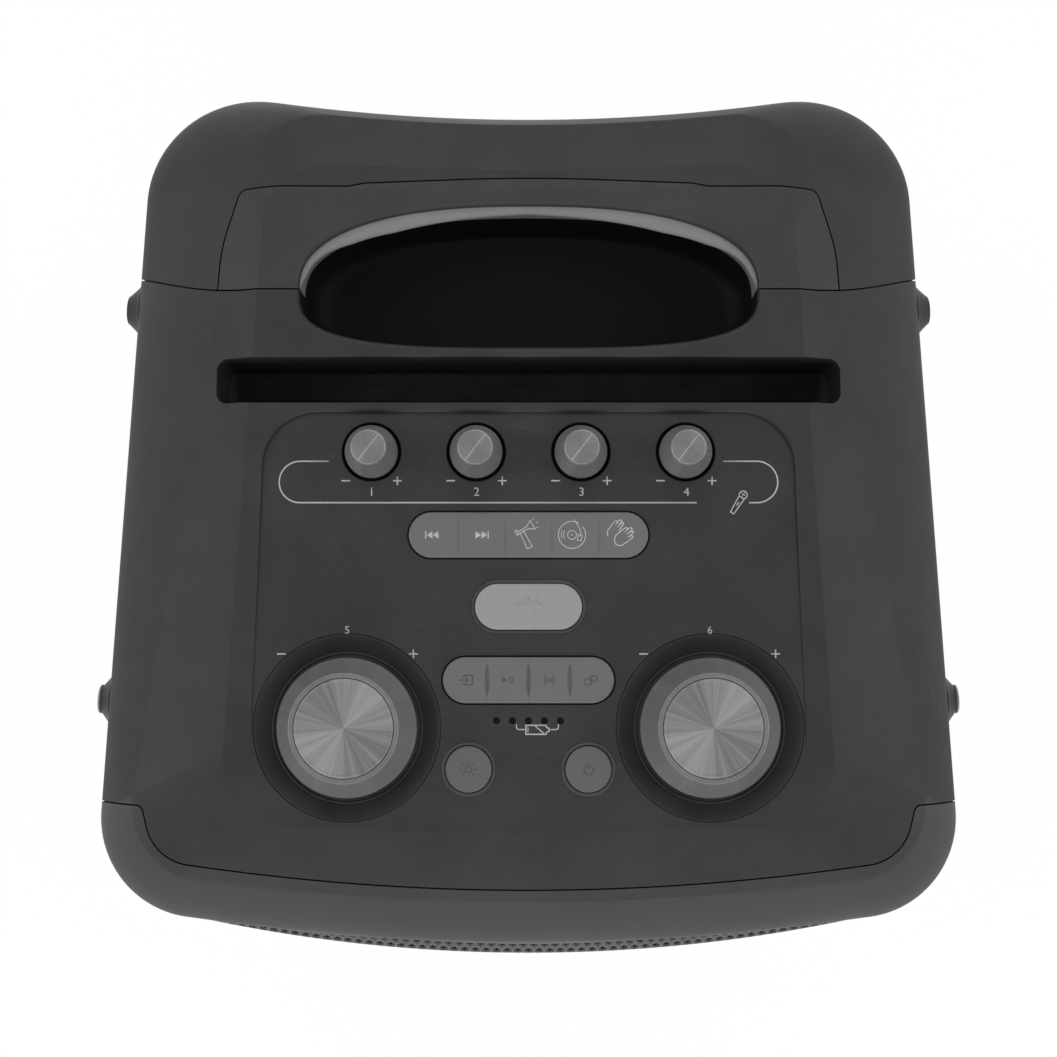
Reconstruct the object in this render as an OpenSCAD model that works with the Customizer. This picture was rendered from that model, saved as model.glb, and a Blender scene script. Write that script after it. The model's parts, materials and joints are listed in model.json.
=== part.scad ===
// Karaoke party speaker: a moulded tower cabinet with a control deck, a carry handle, a tablet slot,
// two woofers and a horn behind a bowed steel grille, and a connector panel on the back.
// The origin is on the table under the middle of the cabinet. The front faces -Y and Z is up.

/* [Cabinet] */
// Height of the flat top face above the table
deck_z = 665; // [640:5:760]
// Width between the front corners, before rounding
front_w = 344.8; // [330:0.4:370]
// Width between the rear corners, before rounding
rear_w = 305.4; // [295:0.2:320]
// Depth from the front corners to the rear corners, before rounding
body_d = 331; // [325:1:350]
// Place of the middle of that depth
plan_mid_y = 13.6; // [10:0.1:18]
// How far the front's two straight lines run past its corners
bow = 22.7; // [16:0.1:26]
// Radius of the front's swell
bow_r = 890; // [700:10:940]
// How far the back's two straight lines dip in from its corners
scoop = 20.9; // [16:0.1:26]
// Radius of the dip in the back
scoop_r = 746; // [450:2:800]
// Radius of the upright front corners
front_corner_r = 40; // [34:1:50]
// Radius of the upright rear corners
rear_corner_r = 44; // [38:1:50]
// Thickness of the moulded walls
wall = 4; // [3:0.5:5]
// Height of the underside of the cabinet, on its feet
bottom_z = 8; // [6:1:16]
// Radius of the bottom edge
bottom_r = 10; // [6:1:16]
// Drop from the top face to the foot of the shoulder, where the walls turn upright
shoulder_drop = 38; // [30:1:44]
// Drop from the top face to the crease around it
crease_drop = 9; // [6:0.5:12]
// Gap at the seams between the mouldings
seam_gap = 0.6; // [0.4:0.1:0.8]
// Place of the seam between the deck and the rear shell, on the top face
rear_seam_y = 88; // [84:0.5:92]
// How far that seam swings back on its way down the side
rear_seam_swing = 13; // [8:0.5:16]
// Place of the seam between the front frame and the side walls
front_seam_y = -111; // [-114:0.5:-106]
// Depth of the deck moulding, from the top face down to its seam with the cabinet
deck_depth = 90; // [80:1:110]
// Height of the tongue that laps that seam inside
tongue_h = 8; // [5:1:12]

/* [Deck] */
// Width of the flat top face at its front corners, before rounding
flat_front_w = 236; // [230:1:244]
// Width of the flat top face at its rear corners, before rounding
flat_rear_w = 204; // [200:1:212]
// Distance from the cabinet's front corners back to those of the top face
flat_front_in = 34; // [30:1:38]
// Distance from the cabinet's rear corners forward to those of the top face
flat_rear_in = 41; // [36:1:44]
// Depth of the control field at its rear edge; it fades out at its front edge
field_depth = 2; // [1:0.1:2.5]
// Rear edge of the control field
field_y = 39.5; // [38:0.5:41]
// Front edge of the control field
field_front_y = -97; // [-104:1:-90]
// Width of the control field at its rear edge
field_w = 203; // [196:1:206]
// Radius of the control field's rear corners
field_r = 21; // [16:1:30]
// Length of the tablet slot
slot_l = 242.8; // [200:0.4:246]
// Width of the tablet slot
slot_w = 17.6; // [14:0.2:18]
// Depth of the tablet slot
slot_depth = 40; // [16:1:44]
// Place of the middle of the tablet slot
slot_y = 52.5; // [52:0.1:53]
// Thickness of the tablet slot's walls below the deck
slot_wall = 1.4; // [1:0.1:1.6]

/* [Handle] */
// Length of the hand opening
hand_l = 178; // [160:1:182]
// Reach of the hand opening behind the seam
hand_back = 33; // [28:0.5:34]
// Reach of the hand opening in front of the seam
hand_front = 22.8; // [18:0.2:23]
// Depth of the hand well
hand_depth = 48; // [42:1:56]
// Thickness of the hand well's wall
well_wall = 2; // [1.6:0.1:2.2]
// Thickness of the soft grip at the middle of the hand opening
grip_t = 3; // [2.4:0.1:3.6]
// Height of the soft grip
grip_h = 22; // [16:1:28]
// Width of the handle cover at the seam
cover_front_w = 242; // [238:0.5:244]
// Width of the handle cover where its sides start to turn in
cover_mid_w = 239.2; // [236:0.2:241]
// Width of the handle cover at its rear corners, before rounding
cover_rear_w = 225.2; // [220:0.2:230]
// Place of the middle of the handle cover's rear edge
cover_y = 131.4; // [129:0.1:132]
// Length of the low arch along that edge
cover_arch_l = 140; // [100:1:160]

/* [Controls] */
// Distance between neighbouring small knobs
small_pitch = 40.4; // [36:0.2:44]
// Place of the row of small knobs
small_y = 24.6; // [22:0.2:25]
// Radius of the small knobs' skirt
small_r = 10.1; // [8:0.1:10.5]
// Radius of the small knobs' cap
small_cap_r = 6.95; // [5:0.05:7.5]
// Height of the small knobs above the top face
small_h = 14; // [10:1:18]
// Running gap around the small knobs
knob_gap = 1.3; // [0.8:0.1:1.6]
// Distance of the large knobs from the middle
large_x = 69.2; // [67:0.2:71]
// Place of the large knobs
large_y = -81.3; // [-83:0.1:-79]
// Radius of the large knobs' skirt
large_r = 26.6; // [24:0.2:27]
// Radius of the large knobs' cap
large_cap_r = 18.7; // [15:0.1:20]
// Height of the large knobs above the top face
large_h = 14.5; // [10:0.5:18]
// Radius of the dish around each large knob
dish_r = 35.7; // [33:0.1:36]
// Depth of the dish
dish_depth = 4.5; // [3:0.5:5]
// Width of the upper and lower rows of keys
key_w = 17.6; // [14:0.2:18]
// Length of the upper row of keys
upper_row_l = 92; // [80:1:96]
// Distance between neighbouring keys of the upper row
upper_pitch = 18; // [15:0.2:19]
// Place of the upper row of keys
upper_row_y = -7.6; // [-9:0.2:-6]
// Length of the lower row of keys
lower_row_l = 65.4; // [56:0.2:70]
// Distance between neighbouring keys of the lower row
lower_pitch = 15.8; // [13:0.2:17]
// Place of the lower row of keys
lower_row_y = -63.2; // [-65:0.2:-62]
// Length of the boost key
boost_l = 41; // [34:1:44]
// Place of the boost key
boost_y = -35.2; // [-36:0.2:-34]
// Distance of the round keys from the middle
round_x = 22.8; // [21:0.2:24]
// Place of the round keys
round_y = -97; // [-98:0.5:-95]
// Radius of the round keys
round_r = 8.8; // [7:0.2:9]
// Gap around the keys
key_gap = 0.6; // [0.4:0.1:0.8]
// Gap between keys of one row
split_gap = 0.3; // [0.2:0.1:0.4]
// Height of the keys above the control field
key_proud = 1.2; // [0.8:0.1:1.6]
// Travel of the keys
key_travel = 0.5; // [0.3:0.1:0.6]
// Distance between the battery lights
light_pitch = 6.1; // [5:0.1:7]
// Place of the battery lights
light_y = -78.6; // [-79:0.1:-78]
// Radius of the battery lights
light_r = 1.25; // [1:0.05:1.5]

/* [Strap studs] */
// Place of the rear strap studs
rear_stud_y = 88.6; // [86:0.2:88.6]
// Place of the front strap studs
front_stud_y = -71; // [-80:1:-60]
// Drop from the top face to the strap studs
stud_drop = 50; // [50:1:64]
// Radius of a strap stud's foot
stud_r = 11.5; // [9:0.5:11.5]
// Radius of a strap stud's neck
stud_neck_r = 5.8; // [4:0.1:6.2]
// Length of a strap stud
stud_l = 6.5; // [5:0.1:8]

/* [Front] */
// Width of the grille opening
grille_w = 300; // [280:1:302]
// Height of the lower edge of the grille opening
grille_low_z = 36; // [30:1:50]
// Drop from the top face to the upper edge of the grille opening
grille_drop = 52; // [48:1:64]
// Radius of the grille opening's corners
grille_corner_r = 24; // [16:1:32]
// Radius of the grille's swell
grille_bow_r = 644; // [560:2:720]
// How far the grille stands out from the middle of the front
grille_proud = 6; // [5:0.2:8]
// Thickness of the grille's sheet
grille_t = 1.2; // [1:0.1:1.5]
// Distance between neighbouring rows of the grille's coarse openings
mesh_pitch = 26; // [22:1:30]
// Width of the bars between those openings
mesh_bar = 3.5; // [2:0.5:5]
// Thickness of the baffle board
baffle_t = 12; // [9:1:15]
// Distance from the middle of the front back to the baffle board
baffle_in = 18.9; // [17:0.1:21]
// Radius of the woofers' frames
woofer_r = 104; // [96:1:108]
// Height of the lower woofer
lower_woofer_z = 158; // [154:1:166]
// Height of the upper woofer
upper_woofer_z = 388; // [380:1:396]
// Travel of the woofers' cones each way
cone_travel = 4; // [2:0.5:5]
// Height of the horn
horn_z = 552; // [546:1:562]
// Width of the horn's mouth
horn_w = 170; // [140:1:190]
// Height of the horn's mouth
horn_h = 72; // [56:1:80]

/* [Back] */
// Inner radius of the port
port_r = 32; // [26:1:36]
// Height of the port
port_z = 500; // [470:5:520]
// Length of the port
port_l = 90; // [70:5:110]
// Width of the connector panel
panel_w = 150; // [140:1:170]
// Height of the connector panel's plate
panel_h = 84; // [78:1:100]
// Height of the middle of the connector panel
panel_z = 340; // [300:5:380]
// Radius of the 6.35 mm microphone jacks' bores
jack_r = 3.2; // [3.1:0.05:3.4]
// Distance between the jacks
jack_pitch = 30; // [24:1:34]
// Radius of a foot
foot_r = 16; // [12:1:20]

/* [Hidden] */
$fn = 64;
far = 400;
eps = 0.01;

// Plan outlines, corner by corner from the front left, anticlockwise seen from above
front_y = plan_mid_y - body_d / 2;
rear_y = plan_mid_y + body_d / 2;
body_plan = six_corners(front_w, front_y, bow, rear_w, rear_y, scoop);
body_radii = [front_corner_r, bow_r, front_corner_r, rear_corner_r, scoop_r, rear_corner_r];
crease_plan = six_corners(
  front_w - 32, front_y + 16, bow - 2.1, rear_w - 86, rear_y - 17, scoop - 11);
crease_radii = [30, bow_r, 30, 34, scoop_r, 34];
flat_plan = six_corners(
  flat_front_w, front_y + flat_front_in, 4, flat_rear_w, rear_y - flat_rear_in, 4);
flat_radii = [26, bow_r, 26, 26, scoop_r, 26];

field_slope = field_depth / (field_y - field_front_y);
under_z = deck_z - wall;
board_z = deck_z - 18;
board_t = 1.6;
seam_z = deck_z - deck_depth;
spindle_r = 3;
spindle_fit = 0.05;
small_well_z = deck_z - 6;
key_flange = 1.5;
key_flange_t = 1.2;
switch_h = 3.5;
stud_cap_t = 1.2;
shoulder_power = 1.5;
band_power = 1.3;
flank_power = 0.85;
side_tilt = atan2((front_w - rear_w) / 2, body_d);
grille_top_z = deck_z - grille_drop;
grille_mid_z = (grille_low_z + grille_top_z) / 2;
grille_open_h = grille_top_z - grille_low_z;
front_mid_y = front_y - bow + round_off(body_plan, 1, bow_r);
baffle_y = front_mid_y + baffle_in;
rear_mid_y = rear_y - scoop + round_off(body_plan, 4, scoop_r);
panel_seat_y = rear_mid_y - 5;
panel_t = 3;

// Vectors and plan outlines
function unit(v) = v / norm(v);
function normal(a, b) = let (u = unit(b - a)) [-u[1], u[0]];
function at(list, i) = list[(i + len(list)) % len(list)];
function blend(a, b, t) = a * (1 - t) + b * t;

function six_corners(w_front, y_front, out_front, w_rear, y_rear, in_rear) = [
  [-w_front / 2, y_front],
  [0, y_front - out_front],
  [w_front / 2, y_front],
  [w_rear / 2, y_rear],
  [0, y_rear - in_rear],
  [-w_rear / 2, y_rear]
];

// Rounds corner b between a and c by n steps
function fillet(a, b, c, r, n) =
  r <= 0 ? [b] :
  let (
    u = unit(a - b),
    v = unit(c - b),
    half = acos(u * v) / 2,
    turn = 180 - 2 * half,
    centre = b + unit(u + v) * r / sin(half),
    start = (b + u * r / tan(half) - centre) / r,
    stop = (b + v * r / tan(half) - centre) / r
  )
  [for (i = [0:n])
    centre + r * (start * sin(turn * (1 - i / n)) + stop * sin(turn * i / n)) / sin(turn)];

// How far rounding by radius r draws a corner in
function round_off(plan, i, r) =
  let (
    u = unit(at(plan, i - 1) - at(plan, i)),
    v = unit(at(plan, i + 1) - at(plan, i)),
    half = acos(u * v) / 2
  )
  (r / sin(half) - r) * (unit(u + v)[1] > 0 ? 1 : -1);

function outline(plan, radii, n = 6) = [
  for (i = [0:len(plan) - 1])
    each fillet(at(plan, i - 1), plan[i], at(plan, i + 1), radii[i], n)
];

function inset(plan, d) = [
  for (i = [0:len(plan) - 1])
    let (
      n1 = normal(at(plan, i - 1), plan[i]),
      n2 = normal(plan[i], at(plan, i + 1))
    )
    plan[i] + d * (n1 + n2) / (1 + n1 * n2)
];

function turns_left(plan, i) = cross(
  plan[i] - at(plan, i - 1), at(plan, i + 1) - plan[i]) > 0;

function inset_radii(plan, radii, d) = [
  for (i = [0:len(plan) - 1])
    radii[i] == 0 ? 0 : max(radii[i] - (turns_left(plan, i) ? d : -d), 1)
];

function ring(plan, radii, d, z) = [
  for (p = outline(inset(plan, d), inset_radii(plan, radii, d))) [p[0], p[1], z]
];

// The cabinet's rings from the bottom up, drawn in by d all round
function bottom_ring(d, share) = ring(
  body_plan, body_radii, d + (bottom_r - d) * share, bottom_z + d + (bottom_r - d) * share);

function shoulder_ring(d, share) =
  let (
    draw = pow(share, shoulder_power),
    z = deck_z - blend(shoulder_drop, crease_drop, share) - d * draw
  )
  ring(
    blend(body_plan, crease_plan, draw), blend(body_radii, crease_radii, draw), d, z);

function top_ring(d, share) = ring(
  blend(crease_plan, flat_plan, share), blend(crease_radii, flat_radii, share), d,
  deck_z - crease_drop * pow(1 - share, band_power) - d);

function cabinet_rings(d) = [
  ring(body_plan, body_radii, bottom_r, bottom_z + d),
  bottom_ring(d, 0.293),
  ring(body_plan, body_radii, d, bottom_z + bottom_r),
  for (share = [0, 0.3, 0.62, 1]) shoulder_ring(d, share),
  top_ring(d, 0.5),
  top_ring(d, 1)
];

// Skins a stack of rings that have equally many points
module loft(rings) {
  n = len(rings[0]);
  top = len(rings) - 1;
  points = [for (r = rings) each r];
  low_cap = [[for (i = [0:n - 1]) i]];
  high_cap = [[for (i = [n - 1:-1:0]) top * n + i]];
  sides = [
    for (k = [0:top - 1])
      for (i = [0:n - 1])
        let (
          a = k * n + i,
          b = k * n + (i + 1) % n
        )
        each [[a, a + n, b], [b, a + n, b + n]]
  ];
  polyhedron(points, concat(low_cap, sides, high_cap), convexity = 10);
}

module cabinet_solid(d = 0) {
  loft(cabinet_rings(d));
}

module plan_prism(plan, radii, low, high) {
  translate([0, 0, low])
    linear_extrude(high - low)
      polygon(outline(plan, radii));
}

// The seam between the deck and the rear shell as a line of Y and Z, moved back by a gap
function rear_seam(gap) = [
  [rear_seam_y + gap, deck_z + 20],
  for (i = [0:6])
    [rear_seam_y + gap + rear_seam_swing * pow(sin(15 * i), 2), deck_z - crease_drop - 44 * i / 6],
  [rear_seam_y + gap + rear_seam_swing, -20]
];

module behind_rear_seam(gap) {
  turn_x()
    linear_extrude(2 * far, center = true)
      polygon(concat(rear_seam(gap), [[far, -20], [far, deck_z + 20]]));
}

module before_rear_seam(gap) {
  turn_x()
    linear_extrude(2 * far, center = true)
      polygon(concat(rear_seam(gap), [[-far, -20], [-far, deck_z + 20]]));
}

// Lays a drawing of Y and Z across X
module turn_x() {
  rotate([90, 0, 90]) children();
}

// Points a drawing's axis along -Y, out of the front
module turn_front() {
  rotate([90, 0, 0]) children();
}

// The seam of the front frame, which wraps around the deck's front corners
front_seam = [
  [-far, front_seam_y], [-151, front_seam_y], [-147, front_seam_y - 20], [0, front_mid_y + 16.2],
  [147, front_seam_y - 20], [151, front_seam_y], [far, front_seam_y]
];
front_seam_radii = [0, 4, 20, bow_r, 20, 4, 0];
behind_front_plan = concat(front_seam, [[far, far], [-far, far]]);
before_front_plan = concat([for (i = [6:-1:0]) front_seam[i]], [[-far, -far], [far, -far]]);

module seam_prism(plan, gap) {
  radii = concat(front_seam_radii, [0, 0]);
  plan_prism(inset(plan, gap), inset_radii(plan, radii, gap), -20, deck_z + 20);
}

module behind_front_seam(gap) {
  seam_prism(behind_front_plan, gap);
}

module before_front_seam(gap) {
  seam_prism(before_front_plan, gap);
}

cover_plan = [
  [-cover_front_w / 2, rear_seam_y - 40], [cover_front_w / 2, rear_seam_y - 40],
  [cover_front_w / 2, rear_seam_y], [cover_mid_w / 2, blend(rear_seam_y, cover_y, 0.4)],
  [cover_rear_w / 2, cover_y - 3], [cover_arch_l / 2, cover_y - 3],
  [cover_arch_l / 2 - 6, cover_y - 1.8], [0, cover_y + 0.6], [6 - cover_arch_l / 2, cover_y - 1.8],
  [-cover_arch_l / 2, cover_y - 3], [-cover_rear_w / 2, cover_y - 3],
  [-cover_mid_w / 2, blend(rear_seam_y, cover_y, 0.4)], [-cover_front_w / 2, rear_seam_y]
];
cover_radii = [0, 0, 0, 60, 4, 6, 6, scoop_r, 6, 6, 4, 60, 0];

module cover_prism(gap) {
  plan_prism(inset(cover_plan, gap), inset_radii(cover_plan, cover_radii, gap),
    deck_z - 40, deck_z + 20);
}

// The hand opening's outline: two rounded halves that meet on the seam, grown by g
function hand_half(reach, power, g, side) = [
  for (i = [0:20])
    let (
      a = 180 * i / 20,
      c = cos(a),
      s = sin(a)
    )
    [side * (hand_l / 2 + g) * sign(c) * pow(abs(c), 2 / power),
     rear_seam_y + side * (reach + g) * pow(abs(s), 2 / power)]
];

module hand_shape(g = 0) {
  polygon(concat(hand_half(hand_back, 2.4, g, 1), hand_half(hand_front, 3.2, g, -1)));
}

module hand_prism(g, low, high) {
  translate([0, 0, low])
    linear_extrude(high - low)
      hand_shape(g);
}

function field_z(y) = deck_z - field_slope * (y - field_front_y);

// The control field: a shallow recess whose floor rises to meet the top face at its front
module field_cut() {
  run_out = 12;
  low = [
    for (p = outline(
      [[-field_w / 2 - 5, field_front_y - run_out], [field_w / 2 + 5, field_front_y - run_out],
       [field_w / 2, field_y], [-field_w / 2, field_y]], [0, 0, field_r, field_r], 8))
      [p[0], p[1], field_z(p[1])]
  ];
  high = [for (p = low) [p[0], p[1], deck_z + 10]];
  loft([low, high]);
}

// A flat bar with round ends, along X
module pill(l, w, h) {
  r = w / 2;
  for (side = [-1, 1])
    translate([side * (l / 2 - r), 0, 0]) cylinder(h = h, r = r);
  translate([-l / 2 + r, -r, 0]) cube([l - w, w, h]);
}

module rounded_bar(w, h, r) {
  for (x = [-1, 1])
    for (y = [-1, 1])
      translate([x * (w / 2 - r), y * (h / 2 - r)]) circle(r);
  square([w - 2 * r, h], center = true);
  square([w, h - 2 * r], center = true);
}

module at_small_knobs() {
  for (i = [-1.5:1:1.5])
    translate([i * small_pitch, small_y, 0]) children();
}

module at_large_knobs() {
  for (side = [-1, 1])
    translate([side * large_x, large_y, 0]) children();
}

key_places = concat(
  [for (i = [-2:2]) [i * upper_pitch, upper_row_y]],
  [[0, boost_y]],
  [for (i = [-1.5:1:1.5]) [i * lower_pitch, lower_row_y]],
  [[-round_x, round_y], [round_x, round_y]]
);

board_posts = [[-96, 8], [96, 8], [0, 10], [-98, -36], [98, -36], [-30, -48], [30, -48]];

// Mouldings
module top_deck() color([0.27, 0.27, 0.27]) {
  difference() {
    intersection() {
      cabinet_solid();
      translate([-far, -far, seam_z]) cube([2 * far, 2 * far, far]);
    }
    difference() {
      cabinet_solid(wall);
      slot_liner();
      small_wells();
      at_board_posts(board_z) cylinder(h = under_z - board_z + 1, r = 4);
    }
    behind_rear_seam(-seam_gap / 2);
    before_front_seam(-seam_gap / 2);
    field_cut();
    hand_prism(0, deck_z - 20, deck_z + 10);
    translate([0, slot_y, deck_z - slot_depth])
      linear_extrude(slot_depth + 10) rounded_bar(slot_l, slot_w, 4.5);
    at_small_knobs() {
      translate([0, 0, small_well_z]) cylinder(h = 20, r = small_r + knob_gap);
      translate([0, 0, small_well_z - 5]) cylinder(h = 20, r = spindle_r + 1);
    }
    at_large_knobs() translate([0, 0, deck_z - 10]) cylinder(h = 20, r = dish_r + 0.2);
    key_openings();
    for (i = [-2:2])
      translate([i * light_pitch, light_y, deck_z - 10]) cylinder(h = 20, r = light_r + 0.05);
    at_board_posts(board_z - 1) cylinder(h = 10, r = 1.2);
    stud_holes();
  }
}

module slot_liner() {
  translate([0, slot_y, deck_z - slot_depth - slot_wall])
    linear_extrude(slot_depth - 3)
      rounded_bar(slot_l + 2 * slot_wall, slot_w + 2 * slot_wall, 4.5 + slot_wall);
}

module small_wells() {
  at_small_knobs()
    translate([0, 0, small_well_z - 2])
      cylinder(h = deck_z - small_well_z - 1, r = small_r + knob_gap + 1.6);
}

module at_board_posts(z) {
  for (p = board_posts)
    translate([p[0], p[1], z]) children();
}

module key_openings() {
  translate([0, upper_row_y, deck_z - 10]) pill(upper_row_l + 2 * key_gap, key_w + 2 * key_gap, 20);
  translate([0, lower_row_y, deck_z - 10]) pill(lower_row_l + 2 * key_gap, key_w + 2 * key_gap, 20);
  translate([0, boost_y, deck_z - 10]) pill(boost_l + 4 * key_gap, key_w + 4 * key_gap, 20);
  for (side = [-1, 1])
    translate([side * round_x, round_y, deck_z - 10]) cylinder(h = 20, r = round_r + 2 * key_gap);
}

module main_cabinet() color([0.22, 0.22, 0.22]) {
  difference() {
    union() {
      intersection() {
        difference() {
          cabinet_solid();
          cabinet_solid(wall);
        }
        translate([-far, -far, -20]) cube([2 * far, 2 * far, seam_z - seam_gap + 20]);
      }
      deck_tongue();
    }
    behind_rear_seam(-seam_gap / 2);
    before_front_seam(-seam_gap / 2);
  }
}

// The tongue that laps the deck's skirt on the inside
module deck_tongue() {
  difference() {
    plan_prism(inset(body_plan, wall - eps), inset_radii(body_plan, body_radii, wall),
      seam_z - tongue_h, seam_z - seam_gap);
    plan_prism(inset(body_plan, wall + 2), inset_radii(body_plan, body_radii, wall + 2),
      seam_z - tongue_h - 1, seam_z + tongue_h + 1);
  }
  difference() {
    plan_prism(inset(body_plan, wall + 0.1), inset_radii(body_plan, body_radii, wall + 0.1),
      seam_z - seam_gap - 1, seam_z + tongue_h);
    plan_prism(inset(body_plan, wall + 2), inset_radii(body_plan, body_radii, wall + 2),
      seam_z - tongue_h - 1, seam_z + tongue_h + 1);
  }
}

module rear_shell() color([0.25, 0.25, 0.25]) {
  difference() {
    cabinet_solid();
    before_rear_seam(seam_gap / 2);
    difference() {
      cabinet_solid(wall);
      cover_ledge();
      back_boss(port_z) circle(port_r + 18);
      back_boss(panel_z) rounded_bar(panel_w + 12, panel_h + 12, 12);
    }
    difference() {
      cover_prism(-seam_gap / 2);
      cabinet_solid(wall);
    }
    hand_prism(grip_t + well_wall, deck_z - 30, deck_z + 10);
    back_cut(port_z, panel_seat_y) circle(port_r + 12.2);
    back_cut(port_z, -far) circle(port_r + 3.2);
    back_cut(panel_z, panel_seat_y) rounded_bar(panel_w + 0.4, panel_h + 0.4, 8.2);
    back_cut(panel_z, -far) rounded_bar(panel_w - 16, panel_h - 16, 4);
  }
}

// The ledge that the handle cover rests on
module cover_ledge() {
  difference() {
    cover_prism(-5);
    cover_prism(4);
    cabinet_solid(wall + 3);
  }
}

module back_boss(z) {
  translate([0, rear_mid_y + 30, z]) turn_front() linear_extrude(40) children();
}

// Cuts forward from behind the cabinet to the given place
module back_cut(z, y) {
  translate([0, far, z]) turn_front() linear_extrude(far - max(y, rear_mid_y - 60)) children();
}

module front_frame() color([0.29, 0.29, 0.29]) {
  difference() {
    cabinet_solid();
    behind_front_seam(seam_gap / 2);
    difference() {
      cabinet_solid(wall);
      grille_opening(4, baffle_y);
    }
    grille_opening(0, baffle_y + 20);
  }
}

// The grille opening's prism, grown by g, from the given place out through the front
module grille_opening(g, y) {
  translate([0, y, grille_mid_z])
    turn_front()
      linear_extrude(60) rounded_bar(grille_w + 2 * g, grille_open_h + 2 * g, grille_corner_r + g);
}

module handle_cover() color([0.26, 0.26, 0.26]) {
  difference() {
    intersection() {
      cabinet_solid();
      cover_prism(seam_gap / 2);
    }
    cabinet_solid(wall);
    before_rear_seam(seam_gap / 2);
    hand_prism(0, deck_z - 20, deck_z + 10);
  }
}

// The soft crescent that the fingers pull on
module handle_grip() color([0.52, 0.52, 0.5]) {
  intersection() {
    difference() {
      hand_prism(0, deck_z - 3 - grip_h, deck_z - 3);
      translate([0, -grip_t, deck_z - grip_h - 4])
        linear_extrude(grip_h + 2)
          scale(0.955) translate([0, rear_seam_y * 0.047]) hand_shape();
    }
    behind_rear_seam(seam_gap);
  }
}

module handle_cup() color([0.1, 0.1, 0.1]) {
  difference() {
    hand_prism(well_wall, deck_z - hand_depth - well_wall, under_z);
    hand_prism(0, deck_z - hand_depth, deck_z);
  }
}

// Front assembly
function grille_arc(r, w) = [
  for (i = [-6:6])
    let (x = i * w / 12) [x, front_mid_y - grille_proud + grille_bow_r - sqrt(r * r - x * x)]
];

module grille() color([0.16, 0.16, 0.16]) {
  sheet_w = grille_w - 1.2;
  sheet_h = grille_open_h - 1.2;
  back = grille_arc(grille_bow_r - grille_t, sheet_w + 2);
  difference() {
    intersection() {
      translate([0, 0, grille_low_z])
        linear_extrude(grille_open_h)
          polygon(concat(grille_arc(grille_bow_r, sheet_w + 2), [for (i = [12:-1:0]) back[i]]));
      translate([0, 0, grille_mid_z])
        turn_front() linear_extrude(far) rounded_bar(sheet_w, sheet_h, grille_corner_r);
    }
    mesh_holes(sheet_w, sheet_h);
  }
  for (x = [-1, 1])
    for (z = [grille_low_z + 22, grille_mid_z, grille_top_z - 22])
      translate([x * (sheet_w / 2 - 5), baffle_y, z]) grille_peg();
}

// A peg plugged into the baffle board, short of the sheet's bow at that place
module grille_peg() {
  x = grille_w / 2 - 5.6;
  sheet_y = front_mid_y - grille_proud + grille_bow_r - sqrt(pow(grille_bow_r, 2) - x * x);
  turn_front() cylinder(h = baffle_y - sheet_y - grille_t / 2, r = 3);
}

module mesh_holes(sheet_w, sheet_h) {
  row = mesh_pitch * sqrt(3) / 2;
  columns = floor((sheet_w / 2 - 19) / mesh_pitch);
  rows = floor((sheet_h / 2 - 14) / row);
  for (j = [-rows:rows])
    for (i = [-columns:columns - (j % 2 == 0 ? 0 : 1)])
      translate([(i + (j % 2 == 0 ? 0 : 0.5)) * mesh_pitch, -100, grille_mid_z + j * row])
        turn_front() rotate(30) cylinder(h = far, r = (mesh_pitch - mesh_bar) / sqrt(3), $fn = 6);
}

module baffle_board() color([0.3, 0.25, 0.2]) {
  half_w = grille_w / 2 - 2;
  difference() {
    translate([0, baffle_y + baffle_t, grille_mid_z])
      turn_front() linear_extrude(baffle_t) rounded_bar(2 * half_w, grille_open_h + 12, 20);
    for (z = [lower_woofer_z, upper_woofer_z])
      translate([0, baffle_y + far, z]) turn_front() cylinder(h = 2 * far, r = woofer_r - 9.8);
    translate([0, baffle_y + far, horn_z])
      turn_front() linear_extrude(2 * far) square([horn_w - 10, horn_h - 10], center = true);
  }
}

// A woofer's frame: a flange on the baffle board and a windowed cone down to the magnet
module basket(z) color([0.12, 0.12, 0.12]) {
  hole_r = woofer_r - 10;
  translate([0, baffle_y, z]) turn_front()
    difference() {
      rotate_extrude()
        polygon([
          [woofer_r, 0], [woofer_r, 4], [woofer_r - 7, 4], [woofer_r - 7, 1.5], [hole_r - 2, 1.5],
          [hole_r - 2, -14], [46, -52], [26, -52], [26, -55], [48, -55], [hole_r, -16], [hole_r, 0]
        ]);
      for (a = [30:60:330])
        rotate(a) translate([30, -14, -46]) cube([hole_r - 46, 28, 26]);
      for (a = [0:45:315])
        rotate(a) translate([woofer_r - 3.5, 0, 2]) cylinder(h = 5, r = 1.8);
    }
}

module magnet(z) color([0.2, 0.2, 0.22]) {
  translate([0, baffle_y, z]) turn_front()
    difference() {
      translate([0, 0, -90]) cylinder(h = 35, r = 52);
      translate([0, 0, -85])
        difference() {
          cylinder(h = 40, r = 20);
          cylinder(h = 30, r = 17);
        }
    }
}

module surround(z) {
  outer = woofer_r - 7.5;
  inner = outer - 10.7;
  mid = (outer + inner) / 2;
  translate([0, baffle_y - 1.5, z]) turn_front()
    rotate_extrude()
      difference() {
        translate([mid, 0]) circle(5.35);
        translate([mid, 0]) circle(4.35);
        translate([inner - 5, -20]) square([40, 20]);
      }
}

module surrounds() color([0.08, 0.08, 0.08]) {
  surround(lower_woofer_z);
  surround(upper_woofer_z);
}

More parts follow.
